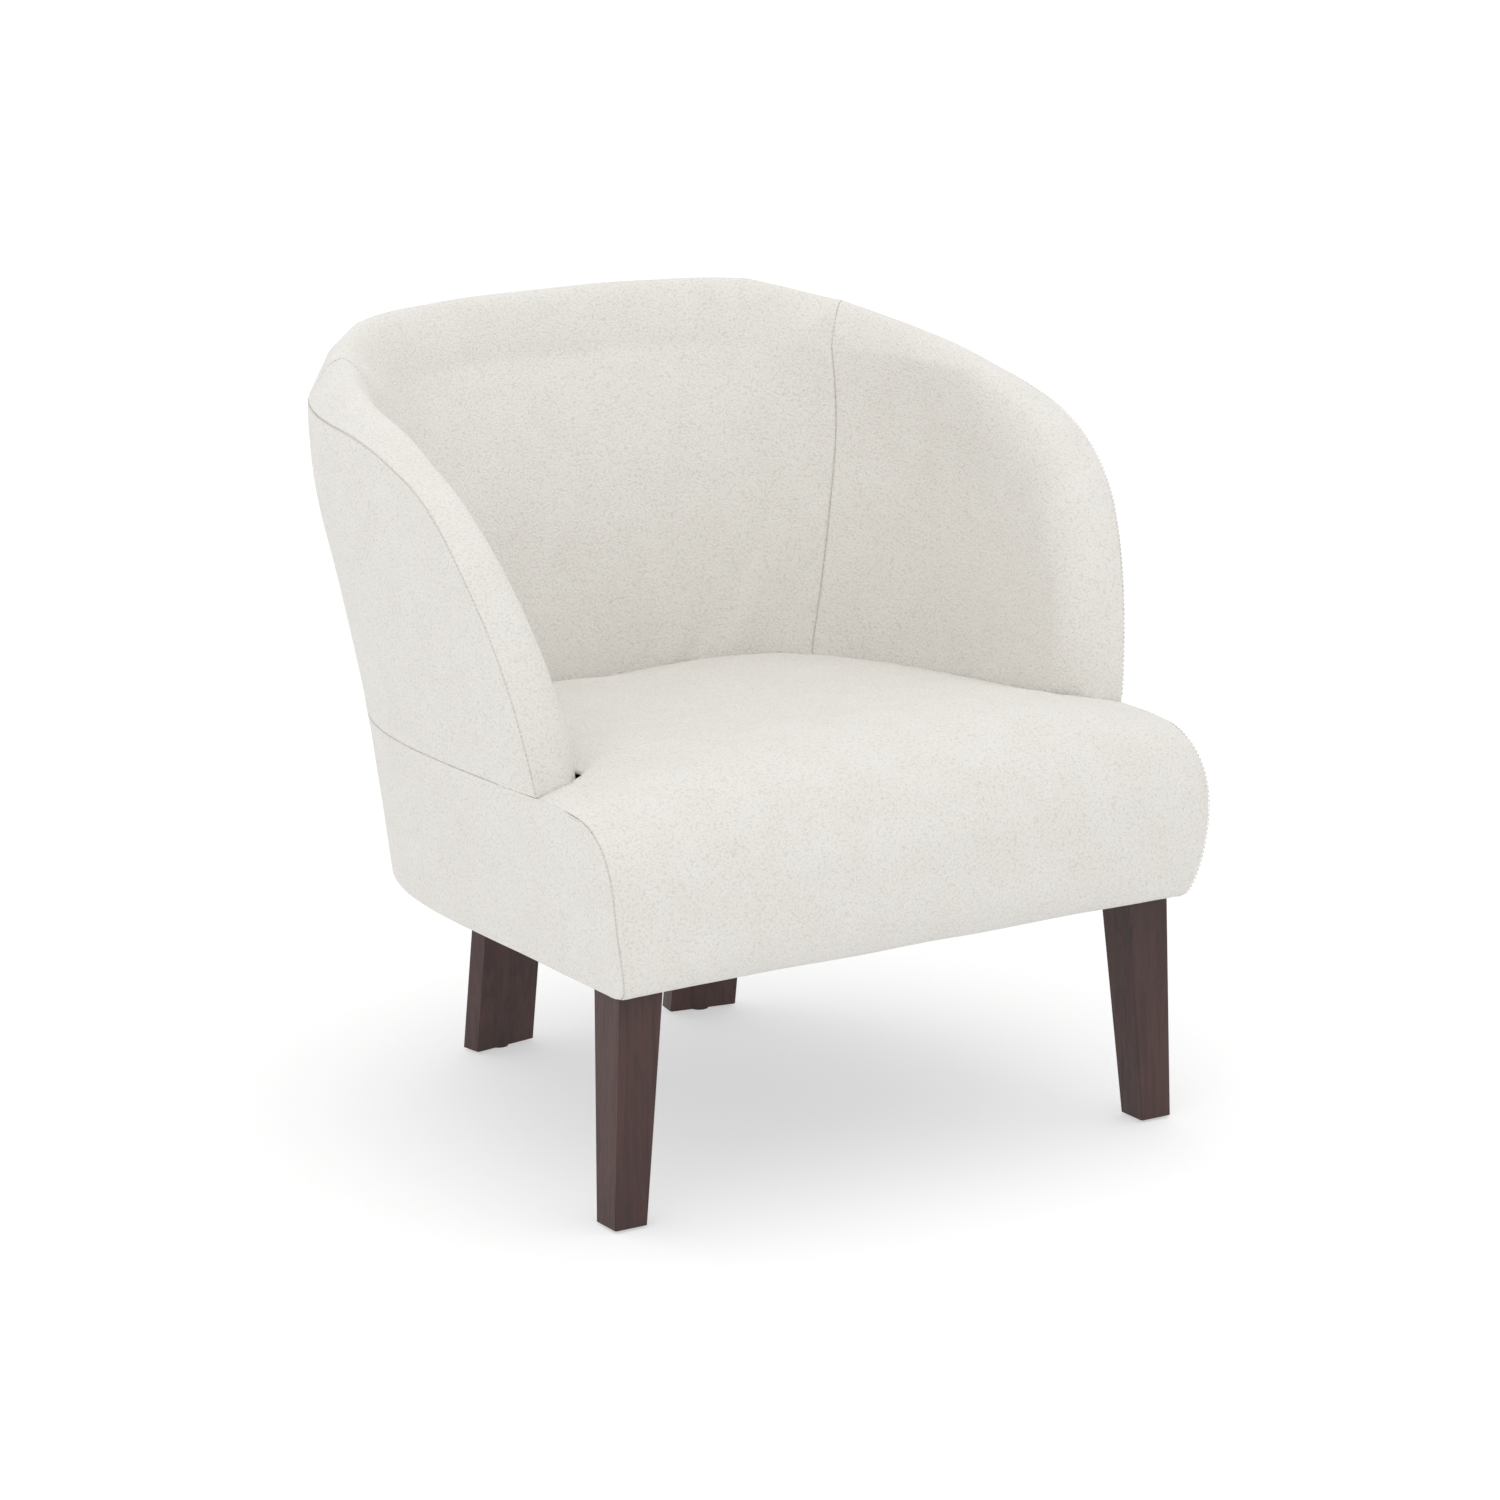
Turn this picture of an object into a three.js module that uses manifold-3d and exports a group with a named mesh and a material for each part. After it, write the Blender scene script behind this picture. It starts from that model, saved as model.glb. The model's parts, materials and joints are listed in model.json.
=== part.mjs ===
// An upholstered barrel armchair: a timber and plywood frame on four wooden legs, a sprung seat,
// foam padding and a sewn fabric cover. Millimetres, +Z up. The chair faces -Y and x = 0 is its
// symmetry plane. Distances along Y are set out from the front face of the front legs. At the end
// everything is moved so that the origin lies on the floor under the middle of the bounding box.
import * as THREE from 'three';
import { mergeVertices } from 'three/addons/utils/BufferGeometryUtils.js';
import Module from 'manifold-3d';

const wasm = await Module();
wasm.setup();

// Overall shape
const MIDDLE_OF_DEPTH = 342; // from the front face of the front legs to the middle of the box
const GAP = 0.3; // clearance between pieces that touch
const LAYER_GAP = 1; // clearance between the layers of the padded wall
const BASE_HEIGHT = 228; // underside of the upholstered base
const SEAM_HEIGHT = 394; // horizontal seam between the base band and the outer covers
const HALF_WIDTH_AT_BASE = 318;
const SIDE_LEAN = 0.148; // how far the sides move outward per millimetre of height
const SIDE_LEVEL_START = 572; // above this height the sides curve back to upright
const SIDE_LEVEL_RATE = 0.0017;
const FRONT_TAPER = 9.4; // the sides draw in this much at the seat seam, toward the arm fronts
const FRONT_BULGE = 9; // the base swells this much sideways below the seat seam, toward the front
const FRONT_TAPER_LENGTH = 170;

// The back is half a superellipse in plan, set out from a centre line behind the arms. Its middle
// stands upright at the base and leans to the rear above the seat.
const PLAN_ROUNDNESS = 2.65;
const PLAN_CENTRE = 269; // at the height of the base
const PLAN_CENTRE_LEAN = 0.08;
const BACK_MIDDLE = 612;
const BACK_LEAN_START = 355;
const BACK_LEAN_HEIGHT = 345;
const BACK_LEAN_REACH = 118;
const BACK_LEAN_CURVE = 1.6;
const SEAM_TWIST = 0.2; // the vertical seams turn this many radians toward the middle on the way down

// Outline of the arm seen from the side, a curve from the seat seam up to the side of the back
const ARM_FRONT = 112;
const ARM_RISE = { y: 130, z: 520 };
const ARM_SHOULDER = { y: 178, z: 640 };
const RIM_HEIGHT_AT_SIDE = 667.5;
const RIM_HEIGHT_AT_BACK = 686;
const RIM_RISE_SHARE = 0.36; // share of the depth of the back over which the rim seam rises

// Thickness of the arms and back, and the shape of their rim
const WALL_THICKNESS_AT_SEAT = 68;
const FRONT_RIM = { thickness: 63, crest: 28, crown: 1, shoulder: 66 };
const BACK_RIM = { thickness: 78, crest: 44, crown: 64, shoulder: 180 };
const RIM_GROWTH_START = 196; // the rim grows toward the rear between these depths
const RIM_GROWTH_LENGTH = 462;
const RIM_GROWTH_CURVE = 1.8;
const CROWN_LEAN = 0.13; // above its seam the rim leans outward at this slope
const WALL_FOOT = 345; // lower edge of the arm and back padding, below the seat surface
const FOOT_SETBACK = 60; // rearward length of the foremost rib of the arm
const BACK_STEPS = 14; // flat steps in each quarter turn of the back
const INNER_SEAM_STEP = 6; // the vertical seams of the inside back
const OUTER_SEAM_STEP = 8; // the vertical seams of the outside back

// Materials in sheet form
const FABRIC = 2;
const PANEL_THICKNESS = 15.5;
const SHELL_COLUMNS = 9; // rows of corners over the height of the curved back shell
const PANEL_DROP = 14; // how far the panel edge stays below the rim seam
const LEDGE_STEPS = 3; // corners of the foam over the upper edge of the panel
const COVER_DROP = 3.2; // how far the outer cover stays below the rim seam
const RAIL_THICKNESS = 24;
const RAIL_FOOT = BASE_HEIGHT + 1.6;
const SIDE_RAIL_TOP = 284;
const FRONT_RAIL_TOP = 318;
const FRONT_RAIL_FACE = 1;

// Seat
const SEAT_FRONT = -30.5; // foremost point of the front of the seat at its side seams
const SEAT_FRONT_HEIGHT = 302; // height of that point
const SEAT_FRONT_UNDERCUT = 25; // how far the lower front edge lies behind it
const SEAT_FRONT_ROUNDING = 95; // depth of the rounded top front edge
const SEAT_ROUNDNESS = 2.5;
const SEAT_LEVEL_END = 117; // the side edge is level up to here, and then falls to the rear
const SEAT_FALL = 0.09;
const SEAT_REAR_DROP = 6;
const SEAT_REAR_DROP_LENGTH = 60;
const SEAT_CROWN = 25;
const SEAT_FRONT_BULGE = 8;
const SEAT_CLEARANCE = 4; // between the seat and the padded wall round it
const SEAT_SIDE_TAPER = 14;
const SEAT_WING_END = ARM_FRONT - 2.5; // the wings in front of the arms end here
const ARM_CORNER_LENGTH = 42; // the rounded inner corner of the arm front, at the seat
const ARM_CORNER_STEPS = 3;
const SEAT_REAR_ANGLE = 84 * Math.PI / 180; // the rear end is cut off straight here
const WRAP_RATE = 0.9; // how fast the foam turns from the front rail onto the deck

// Springs
const WIRE_RADIUS = 1.9;
const SPRING_CROWN = 14;
const SPRING_WAVE = 22;
const SPRING_WAVES = 7;
const SPRING_FRONT = 6;
const SPRING_REAR = 554;
const CLIP_THICKNESS = 1.2;
const CLIP_LENGTH = 12;
const CLIP_FOOT = 6;
const DECK_HALF_WIDTH = 285;
const DECK_REAR_REACH = 320;
const DECK_CLEARANCE = 4.5; // from the middle of the wire to the deck cloth
const DECK_FOAM_CLEARANCE = 1.5;
const SPRING_POSITIONS = [-135, -45, 45, 135];
const DECK_THICKNESS = 1.5;

// Legs
const GLIDE_HEIGHT = 2.5;
const GLIDE_RADIUS = 10;
const LEG_TOP = BASE_HEIGHT - GAP;
const LEG_EDGE = 1.5;
const FRONT_LEG_FOOT = 35;
const FRONT_LEG_HEAD = 47;
const FRONT_LEG_FOOT_X = 318;
const FRONT_LEG_HEAD_X = 310.5;
const FRONT_LEG_HEAD_Y = 2;
const REAR_LEG_WIDTH = 73;
const REAR_LEG_DEPTH = 24.5;
const REAR_LEG_TURN = 9 * Math.PI / 180;
const REAR_LEG_RAKE = 34; // the foot lies this far behind the head
const REAR_LEG_CORNER = { x: 154.5, y: 538.5 }; // outer front corner of the foot
const BOLT_RADIUS = 4;
const BOLT_DEPTH = 35;
const BLOCK_HEIGHT = 40;
const BLOCK_SIDE = 85;
const FRONT_BOLT = { x: 277, y: 39 };
const NUT_WIDTH = 13;
const NUT_HEIGHT = 6.5;
const CROSS_RAIL_FRONT = 536;
const CROSS_RAIL_HALF_LENGTH = 150;

// ---------------------------------------------------------------------------------- materials

/** A plain material of one colour. */
function material(colour, roughness, metalness = 0) {
  return new THREE.MeshStandardMaterial({ color: colour, roughness, metalness });
}

const ivoryFabric = () => material('#e4e1dc', 0.95);
const espressoWood = () => material('#4a3530', 0.45);
const frameTimber = () => material('#c9a878', 0.7);
const plywood = () => material('#c4a06c', 0.7);
const paddingFoam = () => material('#efe6c4', 0.9);
const zincSteel = () => material('#b9bcc0', 0.4, 0.9);
const springSteel = () => material('#4c4e52', 0.45, 0.85);
const deckCloth = () => material('#a08a68', 0.95);
const dustCloth = () => material('#26262a', 0.95);
const glidePlastic = () => material('#2b2a2a', 0.55);

// ----------------------------------------------------------------------------------- geometry

/** Turn every face of a closed mesh outward, by the sign of its volume. */
function facingOut(geometry) {
  const position = geometry.getAttribute('position');
  const index = geometry.getIndex();
  const [a, b, c] = [new THREE.Vector3(), new THREE.Vector3(), new THREE.Vector3()];
  let volume = 0;
  for (let i = 0; i < index.count; i += 3) {
    a.fromBufferAttribute(position, index.getX(i));
    b.fromBufferAttribute(position, index.getX(i + 1));
    c.fromBufferAttribute(position, index.getX(i + 2));
    volume += a.dot(b.cross(c));
  }
  if (volume < 0) {
    for (let i = 0; i < index.count; i += 3) {
      const first = index.getX(i);
      index.setX(i, index.getX(i + 1));
      index.setX(i + 1, first);
    }
  }
  geometry.computeVertexNormals();
  return geometry;
}

/** A closed mesh from a list of points and a list of triangles. */
function closedMesh(points, triangles) {
  const geometry = new THREE.BufferGeometry();
  geometry.setAttribute('position', new THREE.Float32BufferAttribute(points.flat(), 3));
  geometry.setIndex(triangles.flat());
  return facingOut(geometry);
}

/** The solid between two surfaces that are given as functions of a row and a column number. */
function slab(rows, columns, face, back) {
  const points = [];
  for (const surface of [face, back]) {
    for (let i = 0; i < rows; i += 1) {
      for (let j = 0; j < columns; j += 1) {
        points.push(surface(i, j));
      }
    }
  }
  const at = (layer, i, j) => (layer * rows + i) * columns + j;
  const triangles = [];
  const quad = (a, b, c, d) => triangles.push([a, b, c], [a, c, d]);
  for (let i = 0; i < rows - 1; i += 1) {
    for (let j = 0; j < columns - 1; j += 1) {
      quad(at(0, i, j), at(0, i + 1, j), at(0, i + 1, j + 1), at(0, i, j + 1));
      quad(at(1, i, j), at(1, i, j + 1), at(1, i + 1, j + 1), at(1, i + 1, j));
    }
    quad(at(0, i, 0), at(1, i, 0), at(1, i + 1, 0), at(0, i + 1, 0));
    const end = columns - 1;
    quad(at(0, i, end), at(0, i + 1, end), at(1, i + 1, end), at(1, i, end));
  }
  for (let j = 0; j < columns - 1; j += 1) {
    quad(at(0, 0, j), at(0, 0, j + 1), at(1, 0, j + 1), at(1, 0, j));
    quad(at(0, rows - 1, j), at(1, rows - 1, j), at(1, rows - 1, j + 1), at(0, rows - 1, j + 1));
  }
  return closedMesh(points, triangles);
}

/** Move a geometry to the other side of the symmetry plane. */
function mirrored(geometry) {
  const copy = geometry.clone();
  copy.scale(-1, 1, 1);
  return facingOut(copy);
}

/** A geometry with shared corners, which is what the solid modeller and the mirror need. */
function welded(geometry) {
  const copy = geometry.clone();
  copy.deleteAttribute('normal');
  copy.deleteAttribute('uv');
  return facingOut(mergeVertices(copy, 1e-4));
}

/** The first solid with the second one cut out of it. */
function cut(body, tool) {
  const toManifold = (geometry) => new wasm.Manifold(new wasm.Mesh({
    numProp: 3,
    vertProperties: new Float32Array(geometry.getAttribute('position').array),
    triVerts: new Uint32Array(geometry.getIndex().array),
  }));
  const result = toManifold(body).subtract(toManifold(tool)).getMesh();
  const geometry = new THREE.BufferGeometry();
  geometry.setAttribute('position', new THREE.BufferAttribute(result.vertProperties, 3));
  geometry.setIndex(new THREE.BufferAttribute(result.triVerts, 1));
  return facingOut(geometry);
}

/** A flat outline with optional holes, given thickness upward from a height. */
function plate(shape, bottom, thickness) {
  const options = { depth: thickness, bevelEnabled: false, curveSegments: 8 };
  const geometry = new THREE.ExtrudeGeometry(shape, options);
  geometry.translate(0, 0, bottom);
  return welded(geometry);
}

/** A box between two corners. */
function block(low, high) {
  const geometry = new THREE.BoxGeometry(high[0] - low[0], high[1] - low[1], high[2] - low[2]);
  geometry.translate((low[0] + high[0]) / 2, (low[1] + high[1]) / 2, (low[2] + high[2]) / 2);
  return welded(geometry);
}

/** An upright cylinder. */
function post(x, y, bottom, top, radius) {
  const segments = 16;
  const geometry = new THREE.CylinderGeometry(radius, radius, top - bottom, segments);
  geometry.rotateX(Math.PI / 2);
  geometry.translate(x, y, (bottom + top) / 2);
  return welded(geometry);
}

/** A round hole in a flat outline. */
function roundHole(shape, x, y, radius) {
  const hole = new THREE.Path();
  hole.absarc(x, y, radius, 0, 2 * Math.PI, true);
  shape.holes.push(hole);
}

/** A flat outline through corners. */
function outline(corners) {
  return new THREE.Shape(corners.map(([x, y]) => new THREE.Vector2(x, y)));
}

const mix = (a, b, t) => a + (b - a) * t;
const clamp = (value) => Math.min(1, Math.max(0, value));

// ----------------------------------------------------------------------- the barrel of the chair

/** Half the outside width at a height. */
function halfWidth(z) {
  const level = Math.min(z, RIM_HEIGHT_AT_BACK);
  const bend = SIDE_LEVEL_RATE * Math.max(0, level - SIDE_LEVEL_START) ** 2;
  return HALF_WIDTH_AT_BASE + SIDE_LEAN * (level - BASE_HEIGHT) - bend + CROWN_LEAN * (z - level);
}

/** The line across the chair at which the round back begins. */
function planCentre(z) {
  return PLAN_CENTRE + PLAN_CENTRE_LEAN * (z - BASE_HEIGHT);
}

/** The outside of the middle of the back at a height. */
function backMiddle(z) {
  const level = Math.min(z, RIM_HEIGHT_AT_BACK);
  const t = Math.max(0, level - BACK_LEAN_START) / BACK_LEAN_HEIGHT;
  return BACK_MIDDLE + BACK_LEAN_REACH * t ** BACK_LEAN_CURVE + CROWN_LEAN * (z - level);
}

/** The outside of the side of the chair, in front of the round back. */
function sideWidth(y, z) {
  const ahead = clamp((planCentre(z) - y) / FRONT_TAPER_LENGTH);
  const rise = clamp((z - BASE_HEIGHT) / (SEAM_HEIGHT - BASE_HEIGHT));
  return halfWidth(z) + ahead ** 2 * (FRONT_BULGE * Math.sin(Math.PI * rise) - FRONT_TAPER * rise);
}

/** Turning angle round the back, 0 at the left side and a half turn at the right side. */
function backAngle(position, z) {
  const angle = (position - 1) * Math.PI / 2;
  const middle = (SEAM_HEIGHT + RIM_HEIGHT_AT_BACK) / 2;
  const level = Math.min(RIM_HEIGHT_AT_BACK, Math.max(SEAM_HEIGHT, z));
  const rise = (level - middle) / (RIM_HEIGHT_AT_BACK - SEAM_HEIGHT);
  return angle - SEAM_TWIST * rise * Math.sin(2 * angle);
}

/** Share of the half width and of the depth of the back that a turning angle reaches. */
function planShares(angle) {
  const across = Math.abs(Math.cos(angle)) ** (2 / PLAN_ROUNDNESS) * Math.sign(Math.cos(angle));
  const along = Math.max(0, Math.sin(angle)) ** (2 / PLAN_ROUNDNESS);
  return { across, along };
}

/** A point on the round back at a height and at an inset from the outside. */
function backPoint(position, z, inset) {
  const { across, along } = planShares(backAngle(position, z));
  const reach = backMiddle(z) - inset - planCentre(z);
  return [-(halfWidth(z) - inset) * across, planCentre(z) + reach * along, z];
}

/** Outline of the arm in side view, from the foot height at -1, the seat seam at 0, to the back at 1. */
function armOutline(position, footHeight) {
  if (position < 0) {
    return { y: ARM_FRONT, z: mix(SEAM_HEIGHT, footHeight, -position) };
  }
  const curve = new THREE.CubicBezierCurve(
    new THREE.Vector2(ARM_FRONT, SEAM_HEIGHT),
    new THREE.Vector2(ARM_RISE.y, ARM_RISE.z),
    new THREE.Vector2(ARM_SHOULDER.y, ARM_SHOULDER.z),
    new THREE.Vector2(planCentre(RIM_HEIGHT_AT_SIDE), RIM_HEIGHT_AT_SIDE),
  );
  const point = curve.getPoint(position);
  return { y: point.x, z: point.y };
}

/** Outward direction across the arm outline. */
function outlineNormal(position) {
  if (position <= 0) {
    return { y: -1, z: 0 };
  }
  const step = 0.01;
  const before = armOutline(Math.max(0, position - step), SEAM_HEIGHT);
  const after = armOutline(Math.min(1, position + step), SEAM_HEIGHT);
  const size = Math.hypot(after.y - before.y, after.z - before.z);
  return { y: -(after.z - before.z) / size, z: (after.y - before.y) / size };
}

/** Size of the rim above its seam, which grows from the arm fronts to the back. */
function rimSize(y) {
  const growth = clamp((y - RIM_GROWTH_START) / RIM_GROWTH_LENGTH) ** RIM_GROWTH_CURVE;
  return {
    thickness: mix(FRONT_RIM.thickness, BACK_RIM.thickness, growth),
    crest: mix(FRONT_RIM.crest, BACK_RIM.crest, growth),
    crown: mix(FRONT_RIM.crown, BACK_RIM.crown, growth),
    shoulder: mix(FRONT_RIM.shoulder, BACK_RIM.shoulder, growth),
  };
}

/**
 * A rib of the wall from its foot up to the rim seam. Its position is -1 to 1 along the outline of
 * the left arm, then 1 to 3 round the back. It gives points by the distance above the foot and by
 * the inset from the outside of the wall.
 */
function rib(position, footHeight) {
  if (position <= 1) {
    return armRib(position, footHeight);
  }
  const { along } = planShares((position - 1) * Math.PI / 2);
  const below = (RIM_HEIGHT_AT_BACK - RIM_HEIGHT_AT_SIDE) * (1 - clamp(along / RIM_RISE_SHARE)) ** 2;
  const rimHeight = RIM_HEIGHT_AT_BACK - below;
  const point = (distance, inset) => backPoint(position, footHeight + distance, inset);
  const length = rimHeight - footHeight;
  return { length, rim: rimSize(point(length, 0)[1]), slant: 1, point };
}

/** A rib of the left arm. The ribs fan out, from level at the front to upright at the back. */
function armRib(position, footHeight) {
  const top = armOutline(position, footHeight);
  const reach = (top.y - ARM_FRONT) / (planCentre(RIM_HEIGHT_AT_SIDE) - ARM_FRONT);
  const footY = mix(ARM_FRONT + FOOT_SETBACK, planCentre(footHeight), reach);
  const length = Math.hypot(top.y - footY, top.z - footHeight);
  const point = (distance, inset) => {
    const y = mix(footY, top.y, distance / length);
    const z = mix(footHeight, top.z, distance / length);
    return [-(sideWidth(y, z) - inset), y, z];
  };
  const normal = outlineNormal(position);
  const slant = ((top.y - footY) * normal.y + (top.z - footHeight) * normal.z) / length;
  return { length, rim: rimSize(top.y), slant, point };
}

/** Section of the padded wall, from the rim seam over the crown and down the inside to the foot. */
function wallSection(length, rim, crownSteps, shoulderSteps, faceSteps) {
  const thickness = (distance) => mix(WALL_THICKNESS_AT_SEAT, rim.thickness, clamp(distance / length));
  const section = [];
  for (let i = 0; i < crownSteps; i += 1) {
    const t = i / crownSteps;
    section.push([t * rim.crest, length + rim.crown * Math.sin(t * Math.PI / 2)]);
  }
  for (let i = 0; i <= shoulderSteps; i += 1) {
    const angle = i / shoulderSteps * Math.PI / 2;
    const distance = length - rim.shoulder + (rim.shoulder + rim.crown) * Math.cos(angle);
    section.push([mix(rim.crest, thickness(distance), Math.sin(angle)), distance]);
  }
  for (let i = 1; i <= faceSteps; i += 1) {
    const distance = (length - rim.shoulder) * (1 - i / faceSteps);
    section.push([thickness(distance), distance]);
  }
  return section;
}

/** The same section moved inward by a depth. */
function inwardSection(section, depth) {
  return section.map(([inset, distance], i) => {
    const before = section[Math.max(0, i - 1)];
    const after = section[Math.min(section.length - 1, i + 1)];
    const along = [after[0] - before[0], after[1] - before[1]];
    const size = Math.hypot(...along);
    return [inset + along[1] / size * depth, distance - along[0] / size * depth];
  });
}

/** Even positions from one rib to another. */
function positions(from, to, count) {
  return Array.from({ length: count }, (_, i) => mix(from, to, i / (count - 1)));
}

/** Sections at several positions, kept inside the base band where they reach below its seam. */
function wallSections(places) {
  return places.map((place) => {
    const bar = rib(place, WALL_FOOT);
    const least = place > 0 ? 0 : FABRIC + GAP;
    const face = wallSection(bar.length, bar.rim, 3, 5, 3);
    return { bar, face: face.map(([inset, distance]) => [Math.max(inset, least), distance]) };
  });
}

/** The solid between two sides of the same sections. */
function sectionSlab(sections, face, back) {
  const surface = (side) => (i, j) => sections[i].bar.point(side[i][j][1], side[i][j][0]);
  return slab(sections.length, face[0].length, surface(face), surface(back));
}

/** The fabric over the rim and the inside of the wall. */
function innerCover(places) {
  const sections = wallSections(places);
  const face = sections.map((section) => section.face);
  const back = face.map((section) => inwardSection(section, FABRIC));
  return sectionSlab(sections, face, back);
}

/** The foam between the inner cover and the panel. It wraps over the upper edge of the panel. */
function wallFoam(places) {
  const skin = FABRIC + 2 * LAYER_GAP;
  const panelFace = FABRIC + PANEL_THICKNESS + 4 * LAYER_GAP;
  const sections = wallSections(places);
  const face = sections.map((section) => (
    inwardSection(section.face, skin).map(([inset, distance]) => [Math.max(inset, skin), distance])
  ));
  const back = face.map((section, i) => {
    const { bar } = sections[i];
    const ledge = bar.length - (PANEL_DROP - 4 * LAYER_GAP) / bar.slant;
    const last = section.length - 1;
    return section.map((_, j) => {
      if (j < LEDGE_STEPS) {
        return [mix(skin, panelFace, j / LEDGE_STEPS), ledge];
      }
      return [panelFace, ledge * (last - j) / (last - LEDGE_STEPS)];
    });
  });
  return sectionSlab(sections, face, back);
}

/** A part of the wall of even thickness between the foot height and a drop below the rim seam. */
function wallSheet(places, footHeight, drop, inset, thickness, columns) {
  const ribs = places.map((place) => rib(place, footHeight));
  const surface = (depth) => (i, j) => {
    const distance = (ribs[i].length - drop / ribs[i].slant) * j / (columns - 1);
    return ribs[i].point(distance, depth);
  };
  return slab(places.length, columns, surface(inset), surface(inset + thickness));
}

// -------------------------------------------------------------------------------- seat geometry

/** Where the front of the seat lies at a height, along its side seams. */
function seatFront(z) {
  const above = z > SEAT_FRONT_HEIGHT;
  const reach = above ? SEAM_HEIGHT - GAP - SEAT_FRONT_HEIGHT : SEAT_FRONT_HEIGHT - BASE_HEIGHT;
  const depth = above ? SEAT_FRONT_ROUNDING : SEAT_FRONT_UNDERCUT;
  const t = clamp(Math.abs(z - SEAT_FRONT_HEIGHT) / reach);
  return SEAT_FRONT + depth * (1 - (1 - t ** SEAT_ROUNDNESS) ** (1 / SEAT_ROUNDNESS));
}

/** Heights that divide the rounded front of the seat evenly. */
function frontHeights(lowSteps, highSteps) {
  const low = Array.from({ length: lowSteps }, (_, i) => mix(BASE_HEIGHT, SEAT_FRONT_HEIGHT, i / lowSteps));
  const rise = SEAM_HEIGHT - GAP - SEAT_FRONT_HEIGHT;
  const high = Array.from({ length: highSteps + 1 }, (_, i) => (
    SEAT_FRONT_HEIGHT + rise * Math.sin(i / highSteps * Math.PI / 2) ** (2 / SEAT_ROUNDNESS)
  ));
  return [...low, ...high];
}

/** The rear end of the seat, against the padding of the back. */
function seatRear() {
  return BACK_MIDDLE - WALL_THICKNESS_AT_SEAT - SEAT_CLEARANCE;
}

/** Half the width of the seat between the arms, whose front inner corners are rounded. */
function seatHalfWidth(y) {
  const ahead = clamp((ARM_FRONT + ARM_CORNER_LENGTH - y) / ARM_CORNER_LENGTH);
  const inset = mix(FRONT_RIM.crest, WALL_THICKNESS_AT_SEAT, Math.sqrt(1 - ahead ** 2));
  return sideWidth(y, seatEdgeHeight(y)) - inset - SEAT_CLEARANCE;
}

/** Height of the top of the seat along its side seams. */
function seatEdgeHeight(y) {
  const fall = SEAT_FALL * Math.max(0, y - SEAT_LEVEL_END);
  const rearStart = seatRear() - SEAT_REAR_DROP_LENGTH;
  const drop = SEAT_REAR_DROP * clamp((y - rearStart) / SEAT_REAR_DROP_LENGTH) ** 2;
  return SEAM_HEIGHT - GAP - fall - drop;
}

/** Rows of the seat from its lower front edge, over the front and to the rear. */
function seatRows(lowSteps, highSteps, rearSteps) {
  const rows = frontHeights(lowSteps, highSteps).map((z) => {
    const t = (z - BASE_HEIGHT) / (SEAT_FRONT_HEIGHT - BASE_HEIGHT);
    const u = clamp((z - SEAT_FRONT_HEIGHT) / (SEAM_HEIGHT - SEAT_FRONT_HEIGHT));
    const crown = mix(SEAT_FRONT_BULGE * Math.sin(clamp(t) * Math.PI / 2), SEAT_CROWN, u ** 2);
    const y = seatFront(z);
    return { y, z, wing: true, halfWidth: sideWidth(y, z), crown };
  });
  rows.forEach((row, i) => {
    const before = rows[Math.max(0, i - 1)];
    const after = rows[Math.min(rows.length - 1, i + 1)];
    const size = Math.hypot(after.y - before.y, after.z - before.z);
    row.outward = [-(after.z - before.z) / size, (after.y - before.y) / size];
  });
  const top = (y, width, wing = false) => rows.push({
    y, z: seatEdgeHeight(y), wing, halfWidth: width, crown: SEAT_CROWN, outward: [0, 1],
  });
  const rearStart = planCentre(SEAM_HEIGHT);
  const between = mix(ARM_FRONT + ARM_CORNER_LENGTH, rearStart, 0.5);
  top(SEAT_WING_END, sideWidth(SEAT_WING_END, SEAM_HEIGHT), true);
  top(SEAT_WING_END + GAP, seatHalfWidth(SEAT_WING_END));
  for (let i = 1; i <= ARM_CORNER_STEPS; i += 1) {
    const y = ARM_FRONT + ARM_CORNER_LENGTH * (1 - Math.cos(i / ARM_CORNER_STEPS * Math.PI / 2));
    top(y, seatHalfWidth(y));
  }
  top(between, seatHalfWidth(between));
  for (let i = 0; i <= rearSteps; i += 1) {
    const { across, along } = planShares(i / rearSteps * SEAT_REAR_ANGLE);
    top(mix(rearStart, seatRear(), along), seatHalfWidth(rearStart) * across);
  }
  return rows;
}

/** A point on the seat, at a depth below its upholstered surface and clear of the base band. */
function seatPoint(row, across, depth, sideInset) {
  const lift = row.crown * (1 - Math.abs(across * row.halfWidth / halfWidth(row.z)) ** 4) - depth;
  const z = row.z + row.outward[1] * lift;
  const reach = row.wing ? sideWidth(row.y, z) - sideInset : row.halfWidth;
  return [across * reach, row.y + row.outward[0] * lift, z];
}

/** Height of the wire of the springs, above the line between the tops of its two rails. */
function springHeight(y) {
  const t = clamp((y - SPRING_FRONT) / (SPRING_REAR - SPRING_FRONT));
  const seat = mix(FRONT_RAIL_TOP, SIDE_RAIL_TOP, THREE.MathUtils.smoothstep(t, 0, 1)) + GAP + WIRE_RADIUS;
  return seat + SPRING_CROWN * Math.sin(Math.PI * t) ** 2;
}

/** Underside of the deck cloth. */
function deckHeight(y) {
  return springHeight(y) + DECK_CLEARANCE;
}

/** The seat cover, one cloth over the front and the top. */
function seatCover() {
  const rows = seatRows(4, 6, 8);
  const columns = 9;
  const across = (j) => mix(-1, 1, j / (columns - 1));
  const face = (i, j) => seatPoint(rows[i], across(j), 0, FABRIC + GAP);
  const back = (i, j) => seatPoint(rows[i], across(j), FABRIC, FABRIC + GAP);
  return slab(rows.length, columns, face, back);
}

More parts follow.
